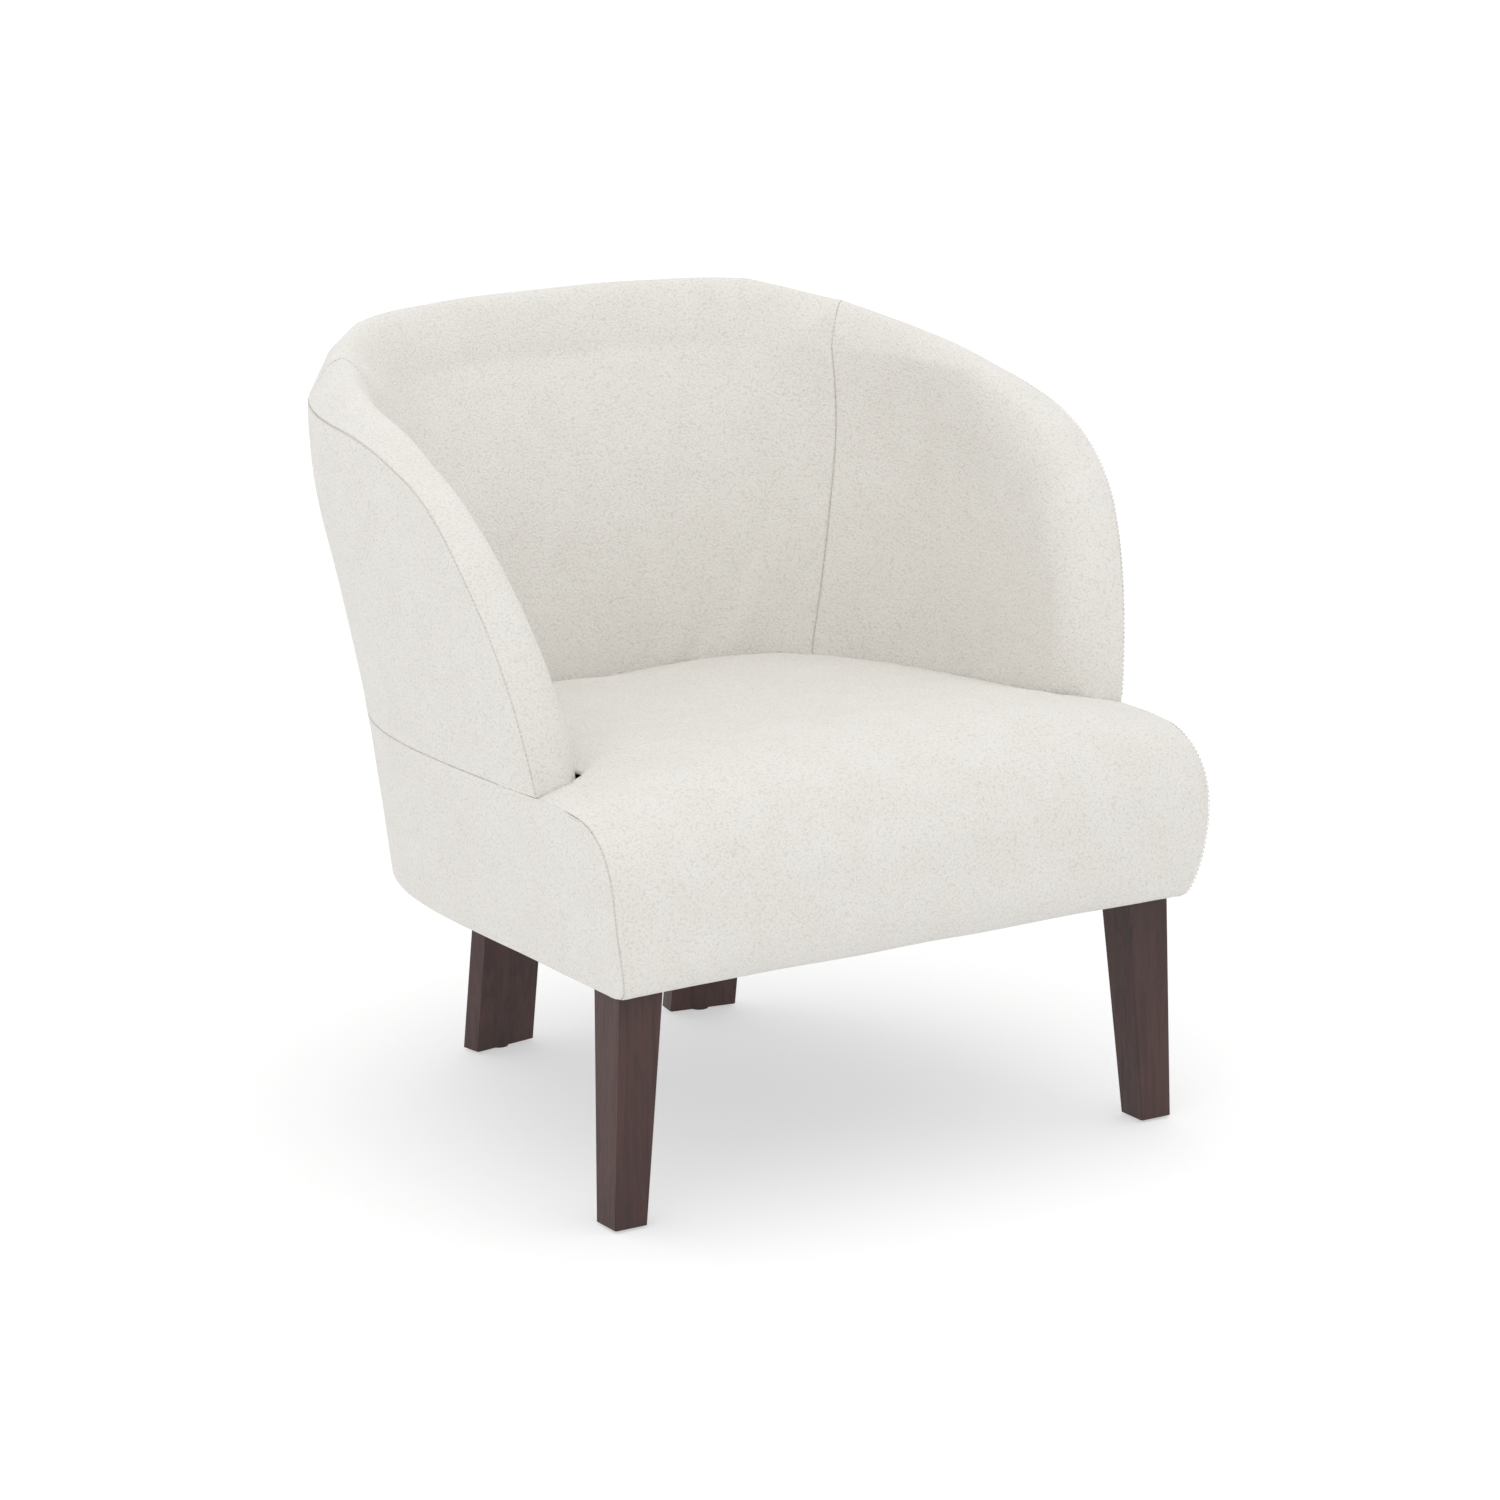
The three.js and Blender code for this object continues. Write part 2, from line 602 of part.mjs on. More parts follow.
/** The seat foam. It hangs over the front rail and lies on the deck cloth. */
function seatFoam() {
  const rows = seatRows(4, 6, 8);
  const columns = 9;
  const across = (j) => mix(-1, 1, j / (columns - 1));
  const sideInset = FABRIC + LAYER_GAP;
  const face = (i, j) => seatPoint(rows[i], across(j), FABRIC + LAYER_GAP, sideInset);
  const lieOn = (y) => deckHeight(y) + DECK_THICKNESS + DECK_FOAM_CLEARANCE;
  const railFace = FRONT_RAIL_FACE - GAP;
  const cornerHeight = lieOn(railFace);
  const cornerRow = rows.findIndex((row) => row.z >= cornerHeight);
  const back = (i, j) => {
    const row = rows[i];
    const onDeck = Math.max(row.y, railFace + (row.z - rows[cornerRow].z) * WRAP_RATE);
    const y = i < cornerRow ? railFace : onDeck;
    const z = i < cornerRow ? row.z : lieOn(y);
    const reach = row.wing ? sideWidth(y, z) - sideInset : row.halfWidth - SEAT_SIDE_TAPER;
    return [across(j) * Math.max(reach, row.halfWidth / 2), y, z];
  };
  return slab(rows.length, columns, face, back);
}

// ------------------------------------------------------------------------------------ base band

/** The fabric band round the base, between two positions: 0 is the front edge, 1 to 3 the back. */
function baseBand(places) {
  const heights = frontHeights(3, 6);
  const surface = (inset) => (i, j) => {
    const z = heights[i];
    const place = places[j];
    if (place > 1) {
      return backPoint(place, z, inset);
    }
    const y = mix(seatFront(z), planCentre(z), place);
    return [-(sideWidth(y, z) - inset), y, z];
  };
  return slab(heights.length, places.length, surface(0), surface(FABRIC));
}

// ------------------------------------------------------------------------------ frame and springs

/** The board under the front edge of the seat. */
function frontRail() {
  const half = HALF_WIDTH_AT_BASE - FABRIC - 1;
  const rear = FRONT_RAIL_FACE + RAIL_THICKNESS;
  return block([-half, FRONT_RAIL_FACE, RAIL_FOOT], [half, rear, FRONT_RAIL_TOP]);
}

/** The left side board, which leans with the side of the chair. */
function sideRail() {
  const front = FRONT_RAIL_FACE + RAIL_THICKNESS + GAP;
  const inset = FABRIC + LAYER_GAP;
  const surface = (depth) => (i, j) => {
    const z = [RAIL_FOOT, SIDE_RAIL_TOP][j];
    const y = [front, planCentre(z) - GAP][i];
    return [-(halfWidth(z) - depth), y, z];
  };
  return slab(2, 2, surface(inset), surface(inset + RAIL_THICKNESS));
}

/** The laminated rail that follows the round back at the height of the side boards. */
function rearRail() {
  const inset = FABRIC + LAYER_GAP;
  const places = positions(1, 3, 2 * BACK_STEPS + 1);
  const surface = (depth) => (i, j) => backPoint(places[i], [RAIL_FOOT, SIDE_RAIL_TOP][j], depth);
  return slab(places.length, 2, surface(inset), surface(inset + RAIL_THICKNESS));
}

/** The straight board between the ends of the rear rail that carries the springs and rear legs. */
function crossRail() {
  return block(
    [-CROSS_RAIL_HALF_LENGTH, CROSS_RAIL_FRONT, RAIL_FOOT],
    [CROSS_RAIL_HALF_LENGTH, CROSS_RAIL_FRONT + RAIL_THICKNESS, SIDE_RAIL_TOP],
  );
}

/** The triangular glue block in the front left corner, bored for the leg bolt. */
function frontCornerBlock() {
  const x = -(halfWidth(RAIL_FOOT) - FABRIC - LAYER_GAP - RAIL_THICKNESS - GAP);
  const y = FRONT_RAIL_FACE + RAIL_THICKNESS + GAP;
  const shape = outline([[x, y], [x + BLOCK_SIDE, y], [x, y + BLOCK_SIDE]]);
  roundHole(shape, -FRONT_BOLT.x, FRONT_BOLT.y, BOLT_RADIUS + GAP);
  return plate(shape, RAIL_FOOT, BLOCK_HEIGHT);
}

/** The block in front of the cross rail that takes the bolt of the left rear leg. */
function rearLegBlock() {
  const bolt = rearLegHeadCentre();
  const halfLength = 40;
  const front = bolt.y - 22;
  const rear = CROSS_RAIL_FRONT - GAP;
  const shape = outline([
    [bolt.x - halfLength, front], [bolt.x + halfLength, front],
    [bolt.x + halfLength, rear], [bolt.x - halfLength, rear],
  ]);
  roundHole(shape, bolt.x, bolt.y, BOLT_RADIUS + GAP);
  return plate(shape, RAIL_FOOT, BLOCK_HEIGHT);
}

/** Centre line of a sinuous seat spring, with straight ends. */
class SpringLine extends THREE.Curve {
  constructor(x) {
    super();
    this.x = x;
  }

  getPoint(t, target = new THREE.Vector3()) {
    const y = mix(SPRING_FRONT, SPRING_REAR, t);
    const swing = THREE.MathUtils.smoothstep(t, 0.04, 0.1) - THREE.MathUtils.smoothstep(t, 0.9, 0.96);
    const x = this.x + SPRING_WAVE * swing * Math.sin(2 * Math.PI * SPRING_WAVES * t);
    return target.set(x, y, springHeight(y));
  }
}

/** A sinuous seat spring. */
function spring(x) {
  const sides = 5;
  const section = outline(Array.from({ length: sides }, (_, i) => {
    const angle = 2 * Math.PI * i / sides;
    return [WIRE_RADIUS * Math.cos(angle), WIRE_RADIUS * Math.sin(angle)];
  }));
  const options = { steps: 8 * SPRING_WAVES, bevelEnabled: false, extrudePath: new SpringLine(x) };
  return welded(new THREE.ExtrudeGeometry(section, options));
}

/** A bent strip that holds the end of a spring down on its rail. */
function springClip(x, y, railTop) {
  const inside = WIRE_RADIUS + 2 * GAP;
  const outside = inside + CLIP_THICKNESS;
  const centre = springHeight(y) - railTop;
  const foot = outside + CLIP_FOOT;
  const shape = new THREE.Shape();
  shape.moveTo(foot, GAP);
  shape.lineTo(foot, GAP + CLIP_THICKNESS);
  shape.lineTo(outside, GAP + CLIP_THICKNESS);
  shape.lineTo(outside, centre);
  shape.absarc(0, centre, outside, 0, Math.PI, false);
  shape.lineTo(-outside, GAP + CLIP_THICKNESS);
  shape.lineTo(-foot, GAP + CLIP_THICKNESS);
  shape.lineTo(-foot, GAP);
  shape.lineTo(-inside, GAP);
  shape.lineTo(-inside, centre);
  shape.absarc(0, centre, inside, Math.PI, 0, true);
  shape.lineTo(inside, GAP);
  shape.closePath();
  const options = { depth: CLIP_LENGTH, bevelEnabled: false, curveSegments: 3 };
  const geometry = new THREE.ExtrudeGeometry(shape, options);
  geometry.rotateX(Math.PI / 2);
  geometry.translate(x, y + CLIP_LENGTH / 2, railTop);
  return welded(geometry);
}

/** The cloth between the springs and the foam. */
function springDeck() {
  const rows = 13;
  const surface = (depth) => (i, j) => {
    const y = mix(FRONT_RAIL_FACE, CROSS_RAIL_FRONT + RAIL_THICKNESS, i / (rows - 1));
    const past = clamp((y - PLAN_CENTRE) / DECK_REAR_REACH);
    const half = DECK_HALF_WIDTH * (1 - past ** PLAN_ROUNDNESS) ** (1 / PLAN_ROUNDNESS);
    return [mix(-half, half, j), y, deckHeight(y) + depth];
  };
  return slab(rows, 2, surface(0), surface(DECK_THICKNESS));
}

/** The thin cloth that closes the underside, with holes for the leg bolts. */
function dustCover() {
  const inset = FABRIC + 2;
  const half = HALF_WIDTH_AT_BASE - inset;
  const front = FRONT_RAIL_FACE + GAP;
  const back = positions(1, 3, 2 * BACK_STEPS + 1).map((place) => backPoint(place, BASE_HEIGHT, inset));
  const shape = outline([[-half, front], [half, front], ...back.reverse()]);
  for (const { x, y } of [{ x: -FRONT_BOLT.x, y: FRONT_BOLT.y }, rearLegHeadCentre()]) {
    roundHole(shape, x, y, BOLT_RADIUS + 1);
    roundHole(shape, -x, y, BOLT_RADIUS + 1);
  }
  return plate(shape, BASE_HEIGHT, 1);
}

// ----------------------------------------------------------------------------------------- legs

/** Four corners of a leg section, each cut off by a small bevel. */
function bevelledCorners(corners) {
  return corners.flatMap((corner, i) => {
    const before = corners[(i + 3) % 4];
    const after = corners[(i + 1) % 4];
    return [before, after].map((other) => {
      const side = Math.hypot(other[0] - corner[0], other[1] - corner[1]);
      return [mix(corner[0], other[0], LEG_EDGE / side), mix(corner[1], other[1], LEG_EDGE / side)];
    });
  });
}

/** The straight-sided solid between the foot and head sections of a leg. */
function legSolid(footCorners, headCorners) {
  const foot = bevelledCorners(footCorners).map(([x, y]) => [x, y, GLIDE_HEIGHT + GAP]);
  const head = bevelledCorners(headCorners).map(([x, y]) => [x, y, LEG_TOP]);
  const count = foot.length;
  const triangles = [];
  for (let i = 0; i < count; i += 1) {
    const next = (i + 1) % count;
    triangles.push([i, next, count + next], [i, count + next, count + i]);
  }
  for (let i = 1; i < count - 1; i += 1) {
    triangles.push([0, i + 1, i], [count, count + i, count + i + 1]);
  }
  return closedMesh([...foot, ...head], triangles);
}

/** A leg with the blind bore for its bolt. */
function boredLeg(leg, bolt) {
  return cut(leg, post(bolt.x, bolt.y, LEG_TOP - BOLT_DEPTH - GAP, LEG_TOP + 1, BOLT_RADIUS + GAP));
}

/** The left front leg: square, tapered on its inner faces and splayed a little. */
function frontLeg() {
  const square = (x, y, size) => [[x, y], [x + size, y], [x + size, y + size], [x, y + size]];
  const foot = square(-FRONT_LEG_FOOT_X, 0, FRONT_LEG_FOOT);
  const head = square(-FRONT_LEG_HEAD_X, FRONT_LEG_HEAD_Y, FRONT_LEG_HEAD);
  return boredLeg(legSolid(foot, head), { x: -FRONT_BOLT.x, y: FRONT_BOLT.y });
}

/** Section of the left rear leg, from its outer front corner at the floor, moved along Y. */
function rearLegCorners(shift) {
  const along = [Math.cos(REAR_LEG_TURN), Math.sin(REAR_LEG_TURN)];
  const back = [-along[1], along[0]];
  const corner = (width, depth) => [
    -REAR_LEG_CORNER.x + along[0] * width + back[0] * depth,
    REAR_LEG_CORNER.y + shift + along[1] * width + back[1] * depth,
  ];
  const sections = [[0, 0], [REAR_LEG_WIDTH, 0], [REAR_LEG_WIDTH, REAR_LEG_DEPTH], [0, REAR_LEG_DEPTH]];
  return sections.map(([width, depth]) => corner(width, depth));
}

/** Middle of the head of the left rear leg. */
function rearLegHeadCentre() {
  const corners = rearLegCorners(-REAR_LEG_RAKE);
  return { x: (corners[0][0] + corners[2][0]) / 2, y: (corners[0][1] + corners[2][1]) / 2 };
}

/** The left rear leg: a broad flat leg that rakes to the rear. */
function rearLeg() {
  return boredLeg(legSolid(rearLegCorners(0), rearLegCorners(-REAR_LEG_RAKE)), rearLegHeadCentre());
}

/** The round plastic glide under a foot section. */
function glide(corners) {
  const x = (corners[0][0] + corners[2][0]) / 2;
  const y = (corners[0][1] + corners[2][1]) / 2;
  return post(x, y, 0, GLIDE_HEIGHT, GLIDE_RADIUS);
}

/** The bolt that joins a leg to its block. */
function legBolt(bolt) {
  const top = RAIL_FOOT + BLOCK_HEIGHT + GAP + NUT_HEIGHT + 3;
  return post(bolt.x, bolt.y, LEG_TOP - BOLT_DEPTH, top, BOLT_RADIUS);
}

/** The hexagonal nut on the block. */
function legNut(bolt) {
  const radius = NUT_WIDTH / Math.sqrt(3);
  const shape = outline(Array.from({ length: 6 }, (_, i) => {
    const angle = Math.PI * i / 3;
    return [bolt.x + radius * Math.cos(angle), bolt.y + radius * Math.sin(angle)];
  }));
  roundHole(shape, bolt.x, bolt.y, BOLT_RADIUS + GAP);
  return plate(shape, RAIL_FOOT + BLOCK_HEIGHT + GAP, NUT_HEIGHT);
}

// ------------------------------------------------------------------------------------- assembly

const chair = new THREE.Group();

/** Put one named piece into the chair. */
function add(name, geometry, finish) {
  geometry.translate(0, -MIDDLE_OF_DEPTH, 0);
  const mesh = new THREE.Mesh(geometry, finish);
  mesh.name = name;
  chair.add(mesh);
}

/** Put a left-hand piece and its mirror image into the chair. Left is as seen from the front. */
function addPair(name, geometry, finish) {
  const other = mirrored(geometry);
  add(`${name}_left`, geometry, finish());
  add(`${name}_right`, other, finish());
}

const frontFoot = [
  [-FRONT_LEG_FOOT_X, 0],
  [-FRONT_LEG_FOOT_X + FRONT_LEG_FOOT, 0],
  [-FRONT_LEG_FOOT_X + FRONT_LEG_FOOT, FRONT_LEG_FOOT],
  [-FRONT_LEG_FOOT_X, FRONT_LEG_FOOT],
];
const frontBolt = { x: -FRONT_BOLT.x, y: FRONT_BOLT.y };
const rearBolt = rearLegHeadCentre();

addPair('front_leg', frontLeg(), espressoWood);
addPair('rear_leg', rearLeg(), espressoWood);
addPair('front_glide', glide(frontFoot), glidePlastic);
addPair('rear_glide', glide(rearLegCorners(0)), glidePlastic);
addPair('front_leg_bolt', legBolt(frontBolt), zincSteel);
addPair('rear_leg_bolt', legBolt(rearBolt), zincSteel);
addPair('front_leg_nut', legNut(frontBolt), zincSteel);
addPair('rear_leg_nut', legNut(rearBolt), zincSteel);

add('front_seat_rail', frontRail(), frameTimber());
addPair('side_seat_rail', sideRail(), frameTimber);
add('rear_seat_rail', rearRail(), frameTimber());
add('cross_rail', crossRail(), frameTimber());
addPair('front_corner_block', frontCornerBlock(), frameTimber);
addPair('rear_leg_block', rearLegBlock(), frameTimber);

const joint = GAP / HALF_WIDTH_AT_BASE; // half the clearance of a vertical seam, as a position
const innerSeam = 1 + INNER_SEAM_STEP / BACK_STEPS;
const outerSeam = 1 + OUTER_SEAM_STEP / BACK_STEPS;
const armPositions = [-1, ...positions(0, 1, 10)];

/** Positions round the back between two steps, pulled in a little at both ends. */
function backPositions(fromStep, toStep) {
  const count = toStep - fromStep + 1;
  const places = positions(1 + fromStep / BACK_STEPS, 1 + toStep / BACK_STEPS, count);
  places[0] += joint;
  places[count - 1] -= joint;
  return places;
}

const panelFoot = SIDE_RAIL_TOP + GAP;
const panelInset = FABRIC + 2 * LAYER_GAP;
const wholeBack = backPositions(0, 2 * BACK_STEPS);

/** A curved board of the frame inside the wall. */
function board(places) {
  return wallSheet(places, panelFoot, PANEL_DROP, panelInset, PANEL_THICKNESS, SHELL_COLUMNS);
}

addPair('arm_panel', board(positions(0, 1, 10)), plywood);
add('back_shell', board(wholeBack), plywood());

SPRING_POSITIONS.forEach((x, i) => {
  add(`seat_spring_${i + 1}`, spring(x), springSteel());
  const frontClip = springClip(x, SPRING_FRONT + CLIP_LENGTH / 2, FRONT_RAIL_TOP);
  const rearClip = springClip(x, SPRING_REAR - CLIP_LENGTH / 2, SIDE_RAIL_TOP);
  add(`front_spring_clip_${i + 1}`, frontClip, zincSteel());
  add(`rear_spring_clip_${i + 1}`, rearClip, zincSteel());
});
add('spring_deck', springDeck(), deckCloth());

const innerCorner = backPositions(0, INNER_SEAM_STEP).slice(1);
const innerMiddle = backPositions(INNER_SEAM_STEP, 2 * BACK_STEPS - INNER_SEAM_STEP);
add('seat_foam', seatFoam(), paddingFoam());
addPair('arm_foam', wallFoam([...armPositions, ...innerCorner]), paddingFoam);
add('back_foam', wallFoam(innerMiddle), paddingFoam());

const coverFoot = SEAM_HEIGHT + GAP;
const outerCorner = backPositions(0, OUTER_SEAM_STEP).slice(1);
const outerMiddle = backPositions(OUTER_SEAM_STEP, 2 * BACK_STEPS - OUTER_SEAM_STEP);
const outerArm = [...positions(0, 1, 10), ...outerCorner];
add('seat_cover', seatCover(), ivoryFabric());
addPair('inner_arm_cover', innerCover([...armPositions, ...innerCorner]), ivoryFabric);
add('inner_back_cover', innerCover(innerMiddle), ivoryFabric());
addPair('outer_arm_cover', wallSheet(outerArm, coverFoot, COVER_DROP, 0, FABRIC, 6), ivoryFabric);
add('outer_back_cover', wallSheet(outerMiddle, coverFoot, COVER_DROP, 0, FABRIC, 6), ivoryFabric());
addPair('base_band', baseBand([...positions(0, 1, 5), ...outerCorner]), ivoryFabric);
add('rear_base_band', baseBand(outerMiddle), ivoryFabric());
add('dust_cover', dustCover(), dustCloth());

export default chair;
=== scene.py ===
"""An upholstered barrel armchair: padded fabric panels with seams, on dark wooden legs.

Metres, +Z up, the chair faces -Y. The fabric panels are fine grids over the same shapes as the
solid model: a barrel wall described by ribs, and a seat described by rows.
"""
import json
import math
from dataclasses import dataclass

import bpy
import numpy as np
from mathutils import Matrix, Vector, noise


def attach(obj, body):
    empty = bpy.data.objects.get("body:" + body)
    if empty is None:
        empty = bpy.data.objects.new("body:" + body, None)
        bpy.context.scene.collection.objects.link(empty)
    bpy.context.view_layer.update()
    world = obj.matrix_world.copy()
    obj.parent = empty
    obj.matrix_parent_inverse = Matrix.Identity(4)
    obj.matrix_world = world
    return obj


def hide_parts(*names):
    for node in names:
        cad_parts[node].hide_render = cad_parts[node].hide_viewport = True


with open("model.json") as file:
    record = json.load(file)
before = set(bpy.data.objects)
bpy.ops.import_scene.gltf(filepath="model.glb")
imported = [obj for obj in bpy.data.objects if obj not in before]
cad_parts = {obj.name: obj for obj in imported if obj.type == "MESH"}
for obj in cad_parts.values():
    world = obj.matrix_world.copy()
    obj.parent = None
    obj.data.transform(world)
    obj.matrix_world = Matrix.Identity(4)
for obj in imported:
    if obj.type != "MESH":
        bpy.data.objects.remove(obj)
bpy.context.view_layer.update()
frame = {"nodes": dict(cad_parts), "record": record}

# Sizes in millimetres, measured along Y from the front face of the front legs
MIDDLE_OF_DEPTH = 342
BASE_HEIGHT = 228
SEAM_HEIGHT = 394
HALF_WIDTH_AT_BASE = 318
SIDE_LEAN = 0.148
SIDE_LEVEL_START = 572
SIDE_LEVEL_RATE = 0.0017
FRONT_TAPER = 9.4
FRONT_BULGE = 9
FRONT_TAPER_LENGTH = 170
PLAN_ROUNDNESS = 2.65
PLAN_CENTRE = 269
PLAN_CENTRE_LEAN = 0.08
BACK_MIDDLE = 612
BACK_LEAN_START = 355
BACK_LEAN_HEIGHT = 345
BACK_LEAN_REACH = 118
BACK_LEAN_CURVE = 1.6
SEAM_TWIST = 0.2
ARM_FRONT = 112
ARM_RISE = (130, 520)
ARM_SHOULDER = (178, 640)
RIM_HEIGHT_AT_SIDE = 667.5
RIM_HEIGHT_AT_BACK = 686
RIM_RISE_SHARE = 0.36
WALL_THICKNESS_AT_SEAT = 68
FRONT_RIM = (63, 28, 1, 66)  # thickness, inset of the crest, its height, and inner rounding
BACK_RIM = (78, 44, 64, 180)
RIM_GROWTH_START = 196
RIM_GROWTH_LENGTH = 462
RIM_GROWTH_CURVE = 1.8
CROWN_LEAN = 0.13
WALL_FOOT = 345
FOOT_SETBACK = 60
INNER_SEAM = 1 + 6 / 14  # positions of the vertical seams round the back
OUTER_SEAM = 1 + 8 / 14
SEAT_FRONT = -30.5
SEAT_FRONT_HEIGHT = 302
SEAT_FRONT_UNDERCUT = 25
SEAT_FRONT_ROUNDING = 95
SEAT_ROUNDNESS = 2.5
SEAT_LEVEL_END = 117
SEAT_FALL = 0.09
SEAT_REAR_DROP = 6
SEAT_REAR_DROP_LENGTH = 60
SEAT_CROWN = 25
SEAT_FRONT_BULGE = 8
SEAT_CLEARANCE = -1.5  # the soft edge of the seat presses into the arms a little
ARM_CORNER_LENGTH = 36  # the rounded inner corner of the arm front, at the seat
SEAT_ROLL = 5  # radius at which the seat turns down against the arms and the back
SEAT_REAR = BACK_MIDDLE - WALL_THICKNESS_AT_SEAT - SEAT_CLEARANCE

# Sewing
CORNER_TUCK = 1.7  # depth of the groove at a seam along a corner
FLAT_TUCK = 0.9  # depth of the groove where the cloth runs on flat
SEAM_ROLL = 1.1  # how far from the seam the cloth turns into the groove
GROOVE_SHARPNESS = 1.3
SEAM_SPACING = (0, 0.5, 1.1, 1.9, 3, 4.6, 7)  # distances of the first corners from a seam
GATHER = 1.1  # height of the small gathers beside a seam
GATHER_REACH = 16
GATHER_START = 4  # the gathers begin at about this distance from the seam
GATHER_SIZE = 11
SWELL = 1.0  # height of the slow unevenness of the padding
SWELL_SIZE = 75
STITCH_LENGTH = 3.2
STITCH_PITCH = 4.6
STITCH_RADIUS = 0.4
STITCH_DEPTH = 0.7  # the threads lie this far down in the groove
STITCH_PROFILE = ((-0.5, 0.15), (-0.38, 0.85), (0, 1), (0.38, 0.85), (0.5, 0.15))  # place, girth
STITCH_SIDES = 6

# Fabric grids
GRID = 4.0  # distance between the corners
INNER_CLOTH = 420  # usual length of the cloth over the rim and down the inside
OUTER_CLOTH = 300
BASE_CLOTH = 170
SEAT_CLOTH = 760
SEAT_CORE = 500  # width of the seat between its margins
SEAT_MARGIN = 12  # the margin beside an arm, which is finer
SEAT_CORE_SHARE = 0.6  # at the narrow rear the core keeps this share of the width
MARGIN_STEPS = 16
MARGIN_SHARE = 0.9  # share of the margin with even steps
MARGIN_SCALE = 80  # the rest steps in to the seam by the seam spacing over this
REAR_STOP = 0.4  # the grid of the seat stops this far from its rearmost point
FINE_STEPS = 500  # steps of the lines that the grids are spaced along
CREST_STEPS = 40
CURVE_STEPS = 60
ROUND_STEPS = 90
SEAT_TOP_STEPS = 260

# Padding
PAD_STEP = 3  # the cloth is simulated on every third row and column
PAD_PRESSURE = 4
PAD_FRAMES = 20
CLOTH_THICKNESS = 0.0016  # in metres, as the modifier takes it

# View
CAMERA_PLACE = (-2933.55, -4336.46, 1800.41)
CAMERA_AZIMUTH = math.radians(-32.5)
CAMERA_ELEVATION = math.radians(14.8)
CAMERA_LENS = 139.2


# -------------------------------------------------------------------------------------- helpers

def mix(a, b, t):
    """The value at a share t of the way from a to b."""
    return a + (b - a) * t


def clamp(value):
    """The value kept between 0 and 1."""
    return min(1.0, max(0.0, value))


def power(value, exponent):
    """A power that takes rounding errors below zero as zero."""
    return max(0.0, value) ** exponent


def unit(vectors):
    """Vectors, or rows of them, at a length of one."""
    size = np.linalg.norm(vectors, axis=-1, keepdims=True)
    return vectors / np.maximum(size, 1e-9)


def to_metres(points):
    """Points in millimetres from the leg face, as points of the scene."""
    return (np.asarray(points, dtype=float) - (0, MIDDLE_OF_DEPTH, 0)) / 1000


# ------------------------------------------------------------------------- the barrel of the chair

def half_width(z):
    """Half the outside width at a height."""
    level = min(z, RIM_HEIGHT_AT_BACK)
    bend = SIDE_LEVEL_RATE * max(0, level - SIDE_LEVEL_START) ** 2
    return HALF_WIDTH_AT_BASE + SIDE_LEAN * (level - BASE_HEIGHT) - bend + CROWN_LEAN * (z - level)


def plan_centre(z):
    """The line across the chair at which the round back begins."""
    return PLAN_CENTRE + PLAN_CENTRE_LEAN * (z - BASE_HEIGHT)


def back_middle(z):
    """The outside of the middle of the back at a height."""
    level = min(z, RIM_HEIGHT_AT_BACK)
    t = max(0, level - BACK_LEAN_START) / BACK_LEAN_HEIGHT
    return BACK_MIDDLE + BACK_LEAN_REACH * t ** BACK_LEAN_CURVE + CROWN_LEAN * (z - level)


def side_width(y, z):
    """The outside of the side of the chair, in front of the round back."""
    ahead = clamp((plan_centre(z) - y) / FRONT_TAPER_LENGTH)
    rise = clamp((z - BASE_HEIGHT) / (SEAM_HEIGHT - BASE_HEIGHT))
    swell = FRONT_BULGE * math.sin(math.pi * rise) - FRONT_TAPER * rise
    return half_width(z) + ahead ** 2 * swell


def back_angle(position, z):
    """Turning angle round the back, 0 at the left side and a half turn at the right side."""
    angle = (position - 1) * math.pi / 2
    middle = (SEAM_HEIGHT + RIM_HEIGHT_AT_BACK) / 2
    level = min(RIM_HEIGHT_AT_BACK, max(SEAM_HEIGHT, z))
    rise = (level - middle) / (RIM_HEIGHT_AT_BACK - SEAM_HEIGHT)
    return angle - SEAM_TWIST * rise * math.sin(2 * angle)


def plan_shares(angle):
    """Share of the half width and of the depth of the back that a turning angle reaches."""
    across = math.copysign(abs(math.cos(angle)) ** (2 / PLAN_ROUNDNESS), math.cos(angle))
    return across, power(math.sin(angle), 2 / PLAN_ROUNDNESS)


def back_point(position, z, inset):
    """A point on the round back at a height and at an inset from the outside."""
    across, along = plan_shares(back_angle(position, z))
    reach = back_middle(z) - inset - plan_centre(z)
    return (-(half_width(z) - inset) * across, plan_centre(z) + reach * along, z)


def arm_outline(position):
    """Outline of the arm in side view, from the seat seam at 0 to the back at 1."""
    if position < 0:
        return ARM_FRONT, mix(SEAM_HEIGHT, WALL_FOOT, -position)
    corners = (
        (ARM_FRONT, SEAM_HEIGHT),
        ARM_RISE,
        ARM_SHOULDER,
        (plan_centre(RIM_HEIGHT_AT_SIDE), RIM_HEIGHT_AT_SIDE),
    )
    t = position
    weights = ((1 - t) ** 3, 3 * t * (1 - t) ** 2, 3 * t * t * (1 - t), t ** 3)
    return tuple(sum(w * c[k] for w, c in zip(weights, corners)) for k in (0, 1))


def rim_size(y):
    """Thickness, crest, crown and shoulder of the rim, which grow from the arms to the back."""
    growth = clamp((y - RIM_GROWTH_START) / RIM_GROWTH_LENGTH) ** RIM_GROWTH_CURVE
    return tuple(mix(front, back, growth) for front, back in zip(FRONT_RIM, BACK_RIM))


